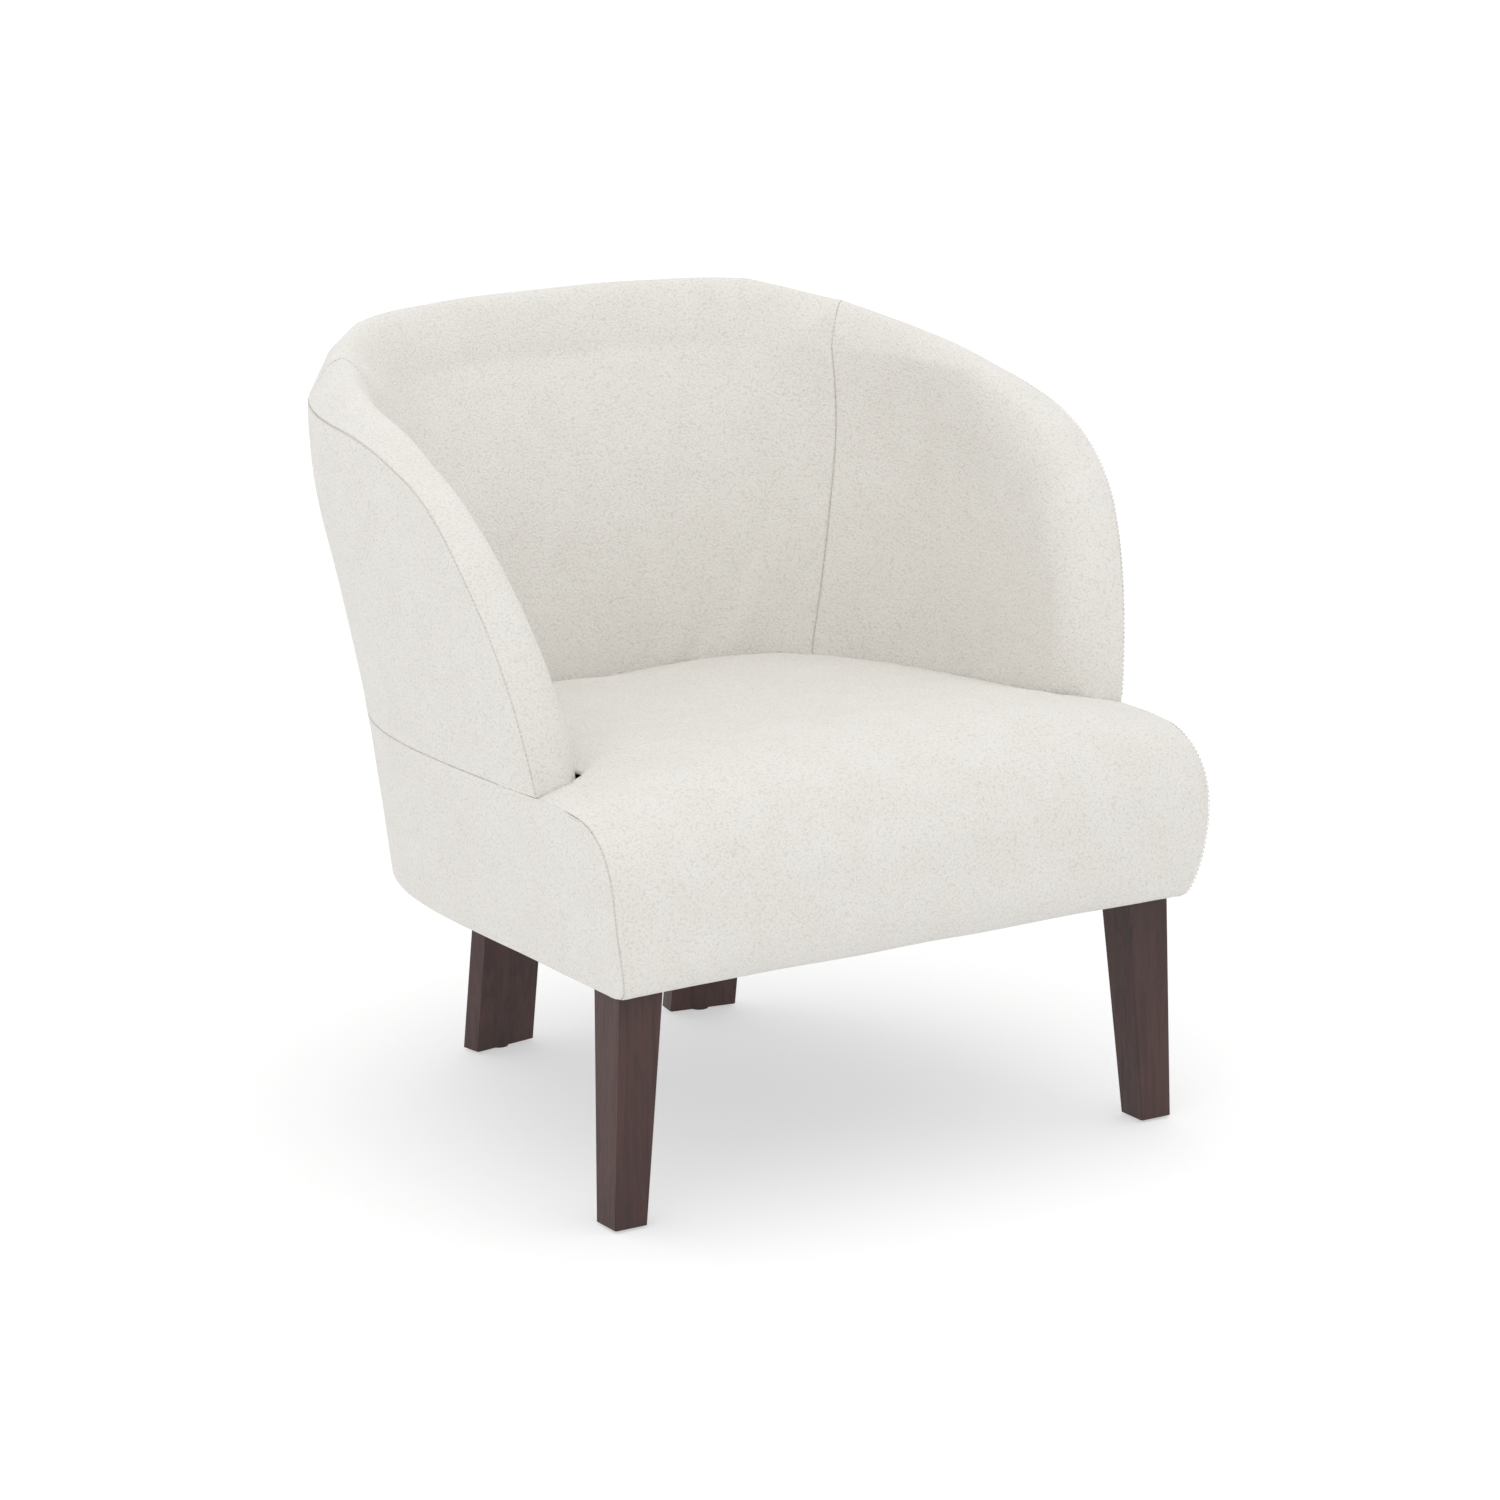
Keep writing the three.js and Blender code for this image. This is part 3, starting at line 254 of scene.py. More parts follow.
def rib(position, foot):
    """A rib of the wall: its length, the size of its rim, and its point function. The position is
    -1 to 1 along the outline of the left arm, then 1 to 3 round the back."""
    if position <= 1:
        return arm_rib(position, foot)
    _, along = plan_shares((position - 1) * math.pi / 2)
    rise = RIM_HEIGHT_AT_BACK - RIM_HEIGHT_AT_SIDE
    rim_height = RIM_HEIGHT_AT_BACK - rise * (1 - clamp(along / RIM_RISE_SHARE)) ** 2
    length = rim_height - foot

    def point(distance, inset):
        return back_point(position, foot + distance, inset)

    return length, rim_size(point(length, 0)[1]), point


def arm_rib(position, foot):
    """A rib of the left arm. The ribs fan out, from level at the front to upright at the back."""
    top_y, top_z = arm_outline(position)
    reach = (top_y - ARM_FRONT) / (plan_centre(RIM_HEIGHT_AT_SIDE) - ARM_FRONT)
    foot_y = mix(ARM_FRONT + FOOT_SETBACK, plan_centre(foot), reach)
    length = math.hypot(top_y - foot_y, top_z - foot)

    def point(distance, inset):
        y = mix(foot_y, top_y, distance / length)
        z = mix(foot, top_z, distance / length)
        return (-(side_width(y, z) - inset), y, z)

    return length, rim_size(top_y), point


def wall_section(length, rim):
    """Fine section from the rim seam over the crest and down the inside, as (inset, distance)."""
    rim_thickness, crest, crown, shoulder = rim

    def thickness(distance):
        return mix(WALL_THICKNESS_AT_SEAT, rim_thickness, clamp(distance / length))

    section = []
    for i in range(CREST_STEPS):
        t = i / CREST_STEPS
        section.append((t * crest, length + crown * math.sin(t * math.pi / 2)))
    for i in range(CURVE_STEPS + 1):
        angle = i / CURVE_STEPS * math.pi / 2
        distance = length - shoulder + (shoulder + crown) * math.cos(angle)
        section.append((mix(crest, thickness(distance), math.sin(angle)), distance))
    for i in range(1, CURVE_STEPS + 1):
        distance = (length - shoulder) * (1 - i / CURVE_STEPS)
        section.append((thickness(distance), distance))
    return section


# --------------------------------------------------------------------------------- fabric grids

def length_along(points):
    """Distance along a line of points, at each of them."""
    steps = np.linalg.norm(np.diff(np.asarray(points, dtype=float), axis=0), axis=1)
    return np.concatenate([[0], np.cumsum(steps)])


def sewn_spacing(length, count):
    """Distances along a line: close together at both ends, where it may be sewn, and then even."""
    close = np.array(SEAM_SPACING)
    even = np.linspace(close[-1], length - close[-1], count)
    return np.concatenate([close[:-1], even, length - close[-2::-1]])


def spaced_line(points, count):
    """The same line with its points spaced for sewing."""
    points = np.asarray(points, dtype=float)
    along = length_along(points)
    wanted = sewn_spacing(along[-1], count)
    return np.stack([np.interp(wanted, along, points[:, k]) for k in range(points.shape[1])], axis=1)


def wall_positions(start, end):
    """Positions of ribs from one to another, close enough for the grid at the rim."""
    fine = np.linspace(start, end, FINE_STEPS)
    rims = []
    for position in fine:
        length, _, point = rib(position, WALL_FOOT)
        rims.append(point(length, 0))
    along = length_along(rims)
    return np.interp(sewn_spacing(along[-1], int(along[-1] / GRID)), along, fine)


def inner_grid(start, end):
    """Grid over the rim and down the inside of the wall."""
    lines = []
    for position in wall_positions(start, end):
        length, rim, point = rib(position, WALL_FOOT)
        lines.append([point(distance, inset) for inset, distance in wall_section(length, rim)])
    count = int(INNER_CLOTH / GRID)
    return np.array([spaced_line(line, count) for line in lines])


def outer_grid(start, end):
    """Grid over the outside of the wall, from the horizontal seam up to the rim seam."""
    lines = []
    for position in wall_positions(start, end):
        length, _, point = rib(position, SEAM_HEIGHT)
        steps = range(CURVE_STEPS + 1)
        lines.append([point(length * (1 - i / CURVE_STEPS), 0) for i in steps])
    count = int(OUTER_CLOTH / GRID)
    return np.array([spaced_line(line, count) for line in lines])


def seat_front(z):
    """Where the front of the seat lies at a height."""
    above = z > SEAT_FRONT_HEIGHT
    reach = SEAM_HEIGHT - SEAT_FRONT_HEIGHT if above else SEAT_FRONT_HEIGHT - BASE_HEIGHT
    depth = SEAT_FRONT_ROUNDING if above else SEAT_FRONT_UNDERCUT
    t = clamp(abs(z - SEAT_FRONT_HEIGHT) / reach)
    return SEAT_FRONT + depth * (1 - power(1 - t ** SEAT_ROUNDNESS, 1 / SEAT_ROUNDNESS))


def band_point(place, z):
    """A point on the base: place 0 is its front edge, and 1 to 3 go round the back."""
    if place > 1:
        return back_point(place, z, 0)
    y = mix(seat_front(z), plan_centre(z), place)
    return -side_width(y, z), y, z


def band_grid(start, end):
    """Grid over the base below the horizontal seam."""
    fine = np.linspace(start, end, FINE_STEPS)
    along = length_along([band_point(place, SEAM_HEIGHT) for place in fine])
    heights = np.linspace(SEAM_HEIGHT, BASE_HEIGHT, CURVE_STEPS)
    lines = []
    for place in np.interp(sewn_spacing(along[-1], int(along[-1] / GRID)), along, fine):
        line = [band_point(place, z) for z in heights]
        lines.append(spaced_line(line, int(BASE_CLOTH / GRID)))
    return np.array(lines)


def seat_edge_height(y):
    """Height of the top of the seat along its side seams."""
    fall = SEAT_FALL * max(0, y - SEAT_LEVEL_END)
    drop = clamp((y - SEAT_REAR + SEAT_REAR_DROP_LENGTH) / SEAT_REAR_DROP_LENGTH)
    return SEAM_HEIGHT - fall - SEAT_REAR_DROP * drop ** 2


def seat_half_width(y):
    """Half the width of the seat between the arms, whose front inner corners are rounded."""
    ahead = clamp((ARM_FRONT + ARM_CORNER_LENGTH - y) / ARM_CORNER_LENGTH)
    inset = mix(FRONT_RIM[1], WALL_THICKNESS_AT_SEAT, math.sqrt(1 - ahead ** 2))
    return side_width(y, seat_edge_height(y)) - inset - SEAT_CLEARANCE


def seat_profile():
    """Side view of the seat from its lower front edge to the rear: y, z and crown."""
    rise = SEAM_HEIGHT - SEAT_FRONT_HEIGHT
    heights = list(np.linspace(BASE_HEIGHT, SEAT_FRONT_HEIGHT, CURVE_STEPS, endpoint=False))
    for angle in np.linspace(0, math.pi / 2, ROUND_STEPS):
        heights.append(SEAT_FRONT_HEIGHT + rise * power(math.sin(angle), 2 / SEAT_ROUNDNESS))
    line = []
    for z in heights:
        low = clamp((z - BASE_HEIGHT) / (SEAT_FRONT_HEIGHT - BASE_HEIGHT))
        high = clamp((z - SEAT_FRONT_HEIGHT) / rise)
        bulge = SEAT_FRONT_BULGE * math.sin(low * math.pi / 2)
        line.append((seat_front(z), z, mix(bulge, SEAT_CROWN, high ** 2)))
    for y in np.linspace(line[-1][0], SEAT_REAR - REAR_STOP, SEAT_TOP_STEPS)[1:]:
        line.append((y, seat_edge_height(y), SEAT_CROWN))
    return spaced_line(line, int(SEAT_CLOTH / GRID))


def rounded_edge(distance, radius):
    """How far the cloth has turned down at a distance from where it is tucked in."""
    inside = clamp(distance / radius)
    return radius * (1 - math.sqrt(1 - (1 - inside) ** 2))


def shares_across():
    """Places over the width of the seat: shares of its core, and shares of its right margin."""
    core = np.linspace(-1, 1, int(SEAT_CORE / GRID))
    even = np.linspace(0, MARGIN_SHARE, MARGIN_STEPS)[1:]
    close = 1 - np.array(SEAM_SPACING[-2::-1]) / MARGIN_SCALE
    return core, np.concatenate([even, close])


def seat_width(y, wing_end, rear_start):
    """Half the width of the seat at a depth, without its wings. The rear is round."""
    width = seat_half_width(min(max(y, wing_end), rear_start))
    if y > rear_start:
        share = clamp((y - rear_start) / (SEAT_REAR - rear_start))
        width *= power(1 - share ** PLAN_ROUNDNESS, 1 / PLAN_ROUNDNESS)
    return width


def seat_grid():
    """Grid over the front and top of the seat, turned down against the arms and the back."""
    profile = seat_profile()
    core_shares, margin_shares = shares_across()
    wing_end = ARM_FRONT - SEAT_CLEARANCE
    rear_start = plan_centre(SEAM_HEIGHT)
    rows = []
    for (y, z, crown), tangent in zip(profile, unit(np.gradient(profile[:, :2], axis=0))):
        wing = y < wing_end
        narrow = seat_width(y, wing_end, rear_start)
        wide = side_width(y, z) if wing else narrow
        core = max(narrow - SEAT_MARGIN, narrow * SEAT_CORE_SHARE)
        margin = core + (wide - core) * margin_shares
        row = []
        for x in np.concatenate([-margin[::-1], core_shares * core, margin]):
            lift = crown * (1 - abs(x / side_width(y, z)) ** 4)
            if wing:
                gap = math.hypot(max(0, narrow - abs(x)), wing_end - y)
                height = z + lift * tangent[0]
                reach = x * side_width(y, height) / side_width(y, z)
                drop = rounded_edge(gap, SEAT_ROLL)
                row.append((reach, y - lift * tangent[1], height - drop))
            else:
                gap = narrow - abs(x)
                if y > rear_start:
                    gap = min(gap, SEAT_REAR - y)
                row.append((x, y, z + lift - rounded_edge(gap, SEAT_ROLL)))
        rows.append(row)
    return np.array(rows)


# --------------------------------------------------------------------------------------- panels

@dataclass
class Panel:
    """A fabric panel: its grid of points, whether its outside is the side that its rows and
    columns turn to (1) or the other one (-1), and its seams. A seam lies along the start or end
    (first and last row) or the top or foot (first and last column). Each one has the directions
    it faces along its length."""
    points: np.ndarray
    facing: int
    seams: dict


def grid_normals(points, facing):
    """Outward directions over a grid."""
    return unit(facing * np.cross(np.gradient(points, axis=0), np.gradient(points, axis=1)))


def edge_line(values, edge):
    """The values of a grid along one of its edges."""
    lines = {"start": values[0], "end": values[-1], "top": values[:, 0], "foot": values[:, -1]}
    return lines[edge]


def rim_outward(start, end):
    """Directions that halve the corner between the outside of the wall and its rim."""
    directions = []
    for position in wall_positions(start, end):
        length, rim, point = rib(position, WALL_FOOT)
        inset, distance = wall_section(length, rim)[1]
        edge = np.array(point(length, 0))
        out = unit(edge - point(length, 1))
        up = unit(np.array(point(length + 1, 0)) - edge)
        along = unit(np.array(point(distance, inset)) - edge)
        rim_normal = np.dot(along, up) * out - np.dot(along, out) * up
        directions.append(out + rim_normal)
    return unit(np.array(directions))


def front_corner_outward(line, side):
    """Directions that halve the corner between the front or top of the seat and its side."""
    along = np.gradient(line, axis=0)
    front = unit(np.stack([0 * along[:, 0], along[:, 2], -along[:, 1]], axis=1))
    middle_of_seat = (0, 250, 300)
    if np.sum(front * (line - middle_of_seat)) < 0:
        front = -front
    return unit(front + (side, 0, 0))


def wall_panel(points, facing, start, end, flat_edges):
    """A panel of the wall that is sewn to the rim along its top, and to flat neighbours."""
    normals = grid_normals(points, facing)
    seams = {edge: edge_line(normals, edge) for edge in flat_edges}
    seams["top"] = rim_outward(start, end)
    return Panel(points, facing, seams)


def inner_panel(start, end, flat_edges):
    """A panel over the rim and down the inside of the wall."""
    return wall_panel(inner_grid(start, end), -1, start, end, flat_edges)


def outer_panel(start, end, flat_edges):
    """A panel of the outside of the wall."""
    return wall_panel(outer_grid(start, end), 1, start, end, flat_edges)


def base_panel(start, end, flat_edges):
    """A panel of the base. Its top is the horizontal seam, and its front end meets the seat."""
    points = band_grid(start, end)
    normals = grid_normals(points, 1)
    seams = {edge: edge_line(normals, edge) for edge in flat_edges}
    if start == 0:
        seams["start"] = front_corner_outward(points[0], -1)
    return Panel(points, 1, seams)


def seat_panel():
    """The one panel of the seat. Its rows run from side to side."""
    points = seat_grid()
    seams = {
        "top": front_corner_outward(points[:, 0], -1),
        "foot": front_corner_outward(points[:, -1], 1),
    }
    return Panel(points, -1, seams)


def opposite(edge):
    """The name of an edge after the rows of its panel have been put in the other order."""
    return {"start": "end", "end": "start"}.get(edge, edge)


def mirrored(panel):
    """The panel on the other side of the chair, with its rows in the other order."""
    flip = np.array((-1, 1, 1))
    seams = {}
    for edge, outward in panel.seams.items():
        along_rows = edge in ("top", "foot")
        seams[opposite(edge)] = (outward * flip)[::-1] if along_rows else outward * flip
    return Panel((panel.points * flip)[::-1], panel.facing, seams)


# -------------------------------------------------------------------------- padding and sewing

def grid_object(name, points, facing):
    """A mesh object over a grid of points in millimetres, with its outside out."""
    rows, columns = points.shape[:2]
    index = np.arange(rows * columns).reshape(rows, columns)
    faces = np.stack([index[:-1, :-1], index[1:, :-1], index[1:, 1:], index[:-1, 1:]], axis=-1)
    faces = faces.reshape(-1, 4)[:, ::facing]
    mesh = bpy.data.meshes.new(name)
    mesh.from_pydata(to_metres(points.reshape(-1, 3)).tolist(), [], faces.tolist())
    mesh.shade_smooth()
    piece = bpy.data.objects.new(name, mesh)
    bpy.context.scene.collection.objects.link(piece)
    return piece


def simulated(piece):
    """Corners of a cloth, pinned where it is "held", after it has been blown up from behind."""
    cloth = piece.modifiers.new("cloth", "CLOTH")
    cloth.settings.quality = 6
    cloth.settings.vertex_group_mass = "held"
    cloth.settings.use_pressure = True
    cloth.settings.uniform_pressure_force = PAD_PRESSURE
    cloth.settings.effector_weights.gravity = 0
    cloth.collision_settings.use_collision = False
    cloth.point_cache.frame_end = PAD_FRAMES
    for number in range(1, PAD_FRAMES + 1):
        bpy.context.scene.frame_set(number)
    shown = piece.evaluated_get(bpy.context.evaluated_depsgraph_get())
    corners = np.array([corner.co[:] for corner in shown.data.vertices])
    mesh = piece.data
    bpy.data.objects.remove(piece)
    bpy.data.meshes.remove(mesh)
    bpy.context.scene.frame_set(1)
    return corners


def filled_in(values, rows, columns, shape):
    """Values at some rows and columns of a grid, filled in for all of it and smoothed."""
    for axis, known in enumerate((rows, columns)):
        wanted = np.arange(shape[axis])
        values = np.apply_along_axis(lambda line: np.interp(wanted, known, line), axis, values)
    for _ in range(PAD_STEP):
        values[1:-1] = (values[:-2] + 2 * values[1:-1] + values[2:]) / 4
        values[:, 1:-1] = (values[:, :-2] + 2 * values[:, 1:-1] + values[:, 2:]) / 4
    return values


def padding(panel, most):
    """How the padding moves every corner of a panel that is held all round, in millimetres."""
    close = len(SEAM_SPACING) - 1
    rows, columns = (
        np.array([0, *range(close, count - close, PAD_STEP), count - 1])
        for count in panel.points.shape[:2]
    )
    coarse = panel.points[np.ix_(rows, columns)]
    piece = grid_object("padding", coarse, panel.facing)
    index = np.arange(coarse.shape[0] * coarse.shape[1]).reshape(coarse.shape[:2])
    border = set(index[[0, -1]].ravel().tolist()) | set(index[:, [0, -1]].ravel().tolist())
    piece.vertex_groups.new(name="held").add(sorted(border), 1.0, "REPLACE")
    moved = simulated(piece) - to_metres(coarse.reshape(-1, 3))
    reach = np.linalg.norm(moved, axis=1, keepdims=True) * 1000
    capped = unit(moved) * most * np.tanh(reach / most)
    return filled_in(capped.reshape(coarse.shape), rows, columns, panel.points.shape)


def unevenness(points, distance, seed):
    """Height of the gathers beside the seams and of the slow swell between them."""
    near = np.exp(-distance / GATHER_REACH) * (1 - np.exp(-distance / GATHER_START))
    away = 1 - np.exp(-distance / GATHER_REACH)
    height = np.empty(distance.shape)
    for index in np.ndindex(distance.shape):
        spot = Vector(points[index])
        gathers = noise.noise(spot / GATHER_SIZE + Vector((seed, 0, 0)))
        swell = noise.noise(spot / SWELL_SIZE + Vector((0, seed, 0)))
        height[index] = GATHER * near[index] * gathers + SWELL * away[index] * swell
    return height


def edge_distance(points, edge):
    """Distance over the cloth of every grid corner from an edge."""
    axis = 0 if edge in ("start", "end") else 1
    steps = np.linalg.norm(np.diff(points, axis=axis), axis=2)
    along = np.cumsum(steps, axis=axis)
    along = np.concatenate([0 * np.take(along, [0], axis=axis), along], axis=axis)
    if edge in ("end", "foot"):
        return np.take(along, [-1], axis=axis) - along
    return along


def finished_grid(panel, most, seed):
    """The grid of a panel with its padding, its unevenness and its grooves at the seams."""
    normals = grid_normals(panel.points, panel.facing)
    distances = {edge: edge_distance(panel.points, edge) for edge in panel.seams}
    nearest = np.min(list(distances.values()), axis=0)
    uneven = unevenness(panel.points, nearest, seed)
    points = panel.points + padding(panel, most) + normals * uneven[..., None]
    for edge, outward in panel.seams.items():
        across = outward[None] if edge in ("start", "end") else outward[:, None]
        bend = np.linalg.norm(outward - edge_line(normals, edge), axis=1).mean()
        depth = mix(FLAT_TUCK, CORNER_TUCK, clamp(2 * bend))
        tuck = depth * np.exp(-((distances[edge] / SEAM_ROLL) ** GROOVE_SHARPNESS))
        points = points - tuck[..., None] * across
    return points


def stitches(line, outward):
    """Corners and faces of a row of short threads along a seam, each a slim capsule."""
    along = length_along(line)
    starts = np.arange(STITCH_PITCH, along[-1] - STITCH_PITCH, STITCH_PITCH)

    def sampled(values, places):
        return np.stack([np.interp(places, along, values[:, k]) for k in range(3)], axis=1)

    middle = sampled(line - outward * STITCH_DEPTH, starts)
    ahead = unit(sampled(line, starts + 1) - sampled(line, starts))
    side = unit(np.cross(ahead, sampled(outward, starts)))
    up = np.cross(side, ahead)
    corners = []
    for share, girth in STITCH_PROFILE:
        arch = STITCH_RADIUS * (1 - (2 * share) ** 2)
        for angle in np.arange(STITCH_SIDES) / STITCH_SIDES * 2 * math.pi:
            ring = (up * math.cos(angle) + side * math.sin(angle)) * girth * STITCH_RADIUS
            corners.append(middle + ahead * share * STITCH_LENGTH + up * arch + ring)
    faces = []
    for ring_start in range(0, len(corners) - STITCH_SIDES, STITCH_SIDES):
        for k in range(STITCH_SIDES):
            a = ring_start + k
            b = ring_start + (k + 1) % STITCH_SIDES
            faces.append((a, b, b + STITCH_SIDES, a + STITCH_SIDES))
    offsets = np.arange(len(starts))[:, None, None] * len(corners)
    return np.stack(corners, axis=1).reshape(-1, 3), (np.array(faces) + offsets).reshape(-1, 4)


def stitched(name, panel, edges, finish):
    """The threads along some seams of a panel, as one object."""
    corners = np.empty((0, 3))
    faces = np.empty((0, 4), dtype=int)
    for edge in edges:
        more_corners, more_faces = stitches(edge_line(panel.points, edge), panel.seams[edge])
        faces = np.concatenate([faces, more_faces + len(corners)])
        corners = np.concatenate([corners, more_corners])
    mesh = bpy.data.meshes.new(name)
    mesh.from_pydata(to_metres(corners).tolist(), [], faces.tolist())
    mesh.shade_smooth()
    mesh.materials.append(finish)
    piece = bpy.data.objects.new(name, mesh)
    bpy.context.scene.collection.objects.link(piece)
    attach(piece, "root")


def upholster(name, panel, nodes, most, seed, finish):
    """Make the cloth of a panel, and let it stand for its CAD nodes."""
    piece = grid_object(name, finished_grid(panel, most, seed), panel.facing)
    piece.data.materials.append(finish)
    cloth = piece.modifiers.new("thickness", "SOLIDIFY")
    cloth.thickness = CLOTH_THICKNESS
    cloth.offset = -1
    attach(piece, "root")
    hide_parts(*nodes)


# ------------------------------------------------------------------------------------ materials

def new_material(name):
    """A node material, its node tree and its main shader."""
    made = bpy.data.materials.new(name)
    made.use_nodes = True
    tree = made.node_tree
    return made, tree, tree.nodes["Principled BSDF"]


def add_node(tree, kind, **settings):
    """A node with some of its inputs set."""
    node = tree.nodes.new(kind)
    for key, value in settings.items():
        node.inputs[key.replace("_", " ")].default_value = value
    return node


def colour_ramp(tree, factor, stops):
    """Colours over a factor, with stops of (place, colour)."""
    ramp = tree.nodes.new("ShaderNodeValToRGB")
    ramp.color_ramp.elements[0].position = stops[0][0]
    ramp.color_ramp.elements[0].color = (*stops[0][1], 1)
    ramp.color_ramp.elements[1].position = stops[-1][0]
    ramp.color_ramp.elements[1].color = (*stops[-1][1], 1)
    for place, colour in stops[1:-1]:
        ramp.color_ramp.elements.new(place).color = (*colour, 1)
    tree.links.new(factor, ramp.inputs["Fac"])
    return ramp.outputs["Color"]


def stretched(tree, scale):
    """Object coordinates with a scale for each axis."""
    place = tree.nodes.new("ShaderNodeTexCoord")
    mapping = add_node(tree, "ShaderNodeMapping", Scale=scale)
    tree.links.new(place.outputs["Object"], mapping.inputs["Vector"])
    return mapping.outputs["Vector"]


def bump(tree, height, strength, distance, after=None):
    """A bump from a height, on top of an earlier one."""
    node = add_node(tree, "ShaderNodeBump", Strength=strength, Distance=distance)
    tree.links.new(height, node.inputs["Height"])
    if after is not None:
        tree.links.new(after, node.inputs["Normal"])
    return node.outputs["Normal"]


def multiplied(tree, first, second):
    """The product of two colours."""
    tint = tree.nodes.new("ShaderNodeMix")
    tint.data_type = "RGBA"
    tint.blend_type = "MULTIPLY"
    tint.inputs["Factor"].default_value = 1
    tree.links.new(first, tint.inputs["A"])
    tree.links.new(second, tint.inputs["B"])
    return tint.outputs["Result"]


def boucle_fabric():
    """Ivory boucle: small looped yarns in a pebbly pile, its colour darkened between the loops as
    painted shade.
    """
    made, tree, shader = new_material("ivory_boucle")
    link = tree.links.new
    where = stretched(tree, (1, 1, 1))
    bend = add_node(tree, "ShaderNodeTexNoise", Scale=260, Detail=2, Roughness=0.6)
    link(where, bend.inputs["Vector"])
    push = tree.nodes.new("ShaderNodeVectorMath")
    push.operation = "MULTIPLY_ADD"
    push.inputs[1].default_value = (0.0035, 0.0035, 0.0035)
    link(bend.outputs["Color"], push.inputs[0])
    link(where, push.inputs[2])
    loops = add_node(tree, "ShaderNodeTexVoronoi", Scale=430, Randomness=1)
    link(push.outputs["Vector"], loops.inputs["Vector"])
    fibres = add_node(tree, "ShaderNodeTexNoise", Scale=1500, Detail=3, Roughness=0.7)
    link(where, fibres.inputs["Vector"])
    patches = add_node(tree, "ShaderNodeTexNoise", Scale=22, Detail=3, Roughness=0.6)
    link(where, patches.inputs["Vector"])
    # painted shade: the colour darkens from the middle of each loop towards the gaps between the
    # loops, standing in for the shade there
    yarn_colour_with_painted_shade = colour_ramp(tree, loops.outputs["Distance"], (
        (0.1, (0.768, 0.75, 0.71)), (0.55, (0.742, 0.724, 0.685)), (0.95, (0.64, 0.612, 0.572)),
    ))
    wear = colour_ramp(tree, patches.outputs["Fac"], (
        (0.3, (0.965, 0.96, 0.955)), (0.7, (1, 1, 1)),
    ))
    link(multiplied(tree, yarn_colour_with_painted_shade, wear), shader.inputs["Base Color"])
    low = colour_ramp(tree, loops.outputs["Distance"], ((0, (1, 1, 1)), (0.9, (0, 0, 0))))
    pebbles = bump(tree, low, 0.6, 0.001)
    link(bump(tree, fibres.outputs["Fac"], 0.3, 0.0003, pebbles), shader.inputs["Normal"])
    shader.inputs["Roughness"].default_value = 0.95
    shader.inputs["Specular IOR Level"].default_value = 0.15
    shader.inputs["Sheen Weight"].default_value = 0.25
    shader.inputs["Sheen Roughness"].default_value = 0.5
    return made


def thread():
    """Ivory-toned sewing thread with a fine twist, darker than the cloth: partly the thread's own
    tone, partly painted shade of the seam grooves.
    """
    made, tree, shader = new_material("thread_tone_and_painted_seam_shade")
    twist = add_node(tree, "ShaderNodeTexNoise", Scale=2500, Detail=1)
    tree.links.new(stretched(tree, (1, 1, 1)), twist.inputs["Vector"])
    # partly painted shade: the thread is darker than the cloth, partly its own tone and partly
    # standing in for the shade in the seam grooves
    colour = colour_ramp(tree, twist.outputs["Fac"], (
        (0.3, (0.52, 0.48, 0.445)), (0.7, (0.66, 0.625, 0.585)),
    ))
    tree.links.new(colour, shader.inputs["Base Color"])
    shader.inputs["Roughness"].default_value = 0.7
    return made


def mixed_colour(a, b, t):
    """The colour at a share t of the way from a to b."""
    return tuple(mix(p, q, t) for p, q in zip(a, b))


def stained_wood(name, scale, dark, light, roughness):
    """Wood with long grain along its stretched axis, fine pores and uneven stain."""
    made, tree, shader = new_material(name)
    link = tree.links.new
    where = stretched(tree, scale)
    grain = add_node(tree, "ShaderNodeTexNoise", Scale=9, Detail=6, Roughness=0.65, Distortion=1.2)
    link(where, grain.inputs["Vector"])
    pores = add_node(tree, "ShaderNodeTexNoise", Scale=60, Detail=3, Roughness=0.7)
    link(where, pores.inputs["Vector"])
    blotches = add_node(tree, "ShaderNodeTexNoise", Scale=14, Detail=2)
    link(stretched(tree, (1, 1, 1)), blotches.inputs["Vector"])
    stain = colour_ramp(tree, grain.outputs["Fac"], (
        (0.3, dark), (0.52, mixed_colour(dark, light, 0.6)), (0.72, light),
    ))
    shade = colour_ramp(tree, blotches.outputs["Fac"], ((0.3, (0.8, 0.78, 0.78)), (0.7, (1, 1, 1))))
    link(multiplied(tree, stain, shade), shader.inputs["Base Color"])
    rough = colour_ramp(tree, pores.outputs["Fac"], (
        (0.3, (roughness + 0.12,) * 3), (0.7, (roughness - 0.06,) * 3),
    ))
    link(rough, shader.inputs["Roughness"])
    shallow = bump(tree, grain.outputs["Fac"], 0.25, 0.0006)
    link(bump(tree, pores.outputs["Fac"], 0.3, 0.0003, shallow), shader.inputs["Normal"])
    return made


def speckled(name, colour, scale, roughness, depth, metallic=0.0):
    """A plain stuff with small variation in colour and height, such as foam, cloth or plating."""
    made, tree, shader = new_material(name)
    grains = add_node(tree, "ShaderNodeTexNoise", Scale=scale, Detail=4, Roughness=0.6)
    tree.links.new(stretched(tree, (1, 1, 1)), grains.inputs["Vector"])
    darker = tuple(0.75 * value for value in colour)
    tone = colour_ramp(tree, grains.outputs["Fac"], ((0.3, darker), (0.65, colour)))
    tree.links.new(tone, shader.inputs["Base Color"])
    tree.links.new(bump(tree, grains.outputs["Fac"], 0.4, depth), shader.inputs["Normal"])
    shader.inputs["Roughness"].default_value = roughness
    shader.inputs["Metallic"].default_value = metallic
    return made


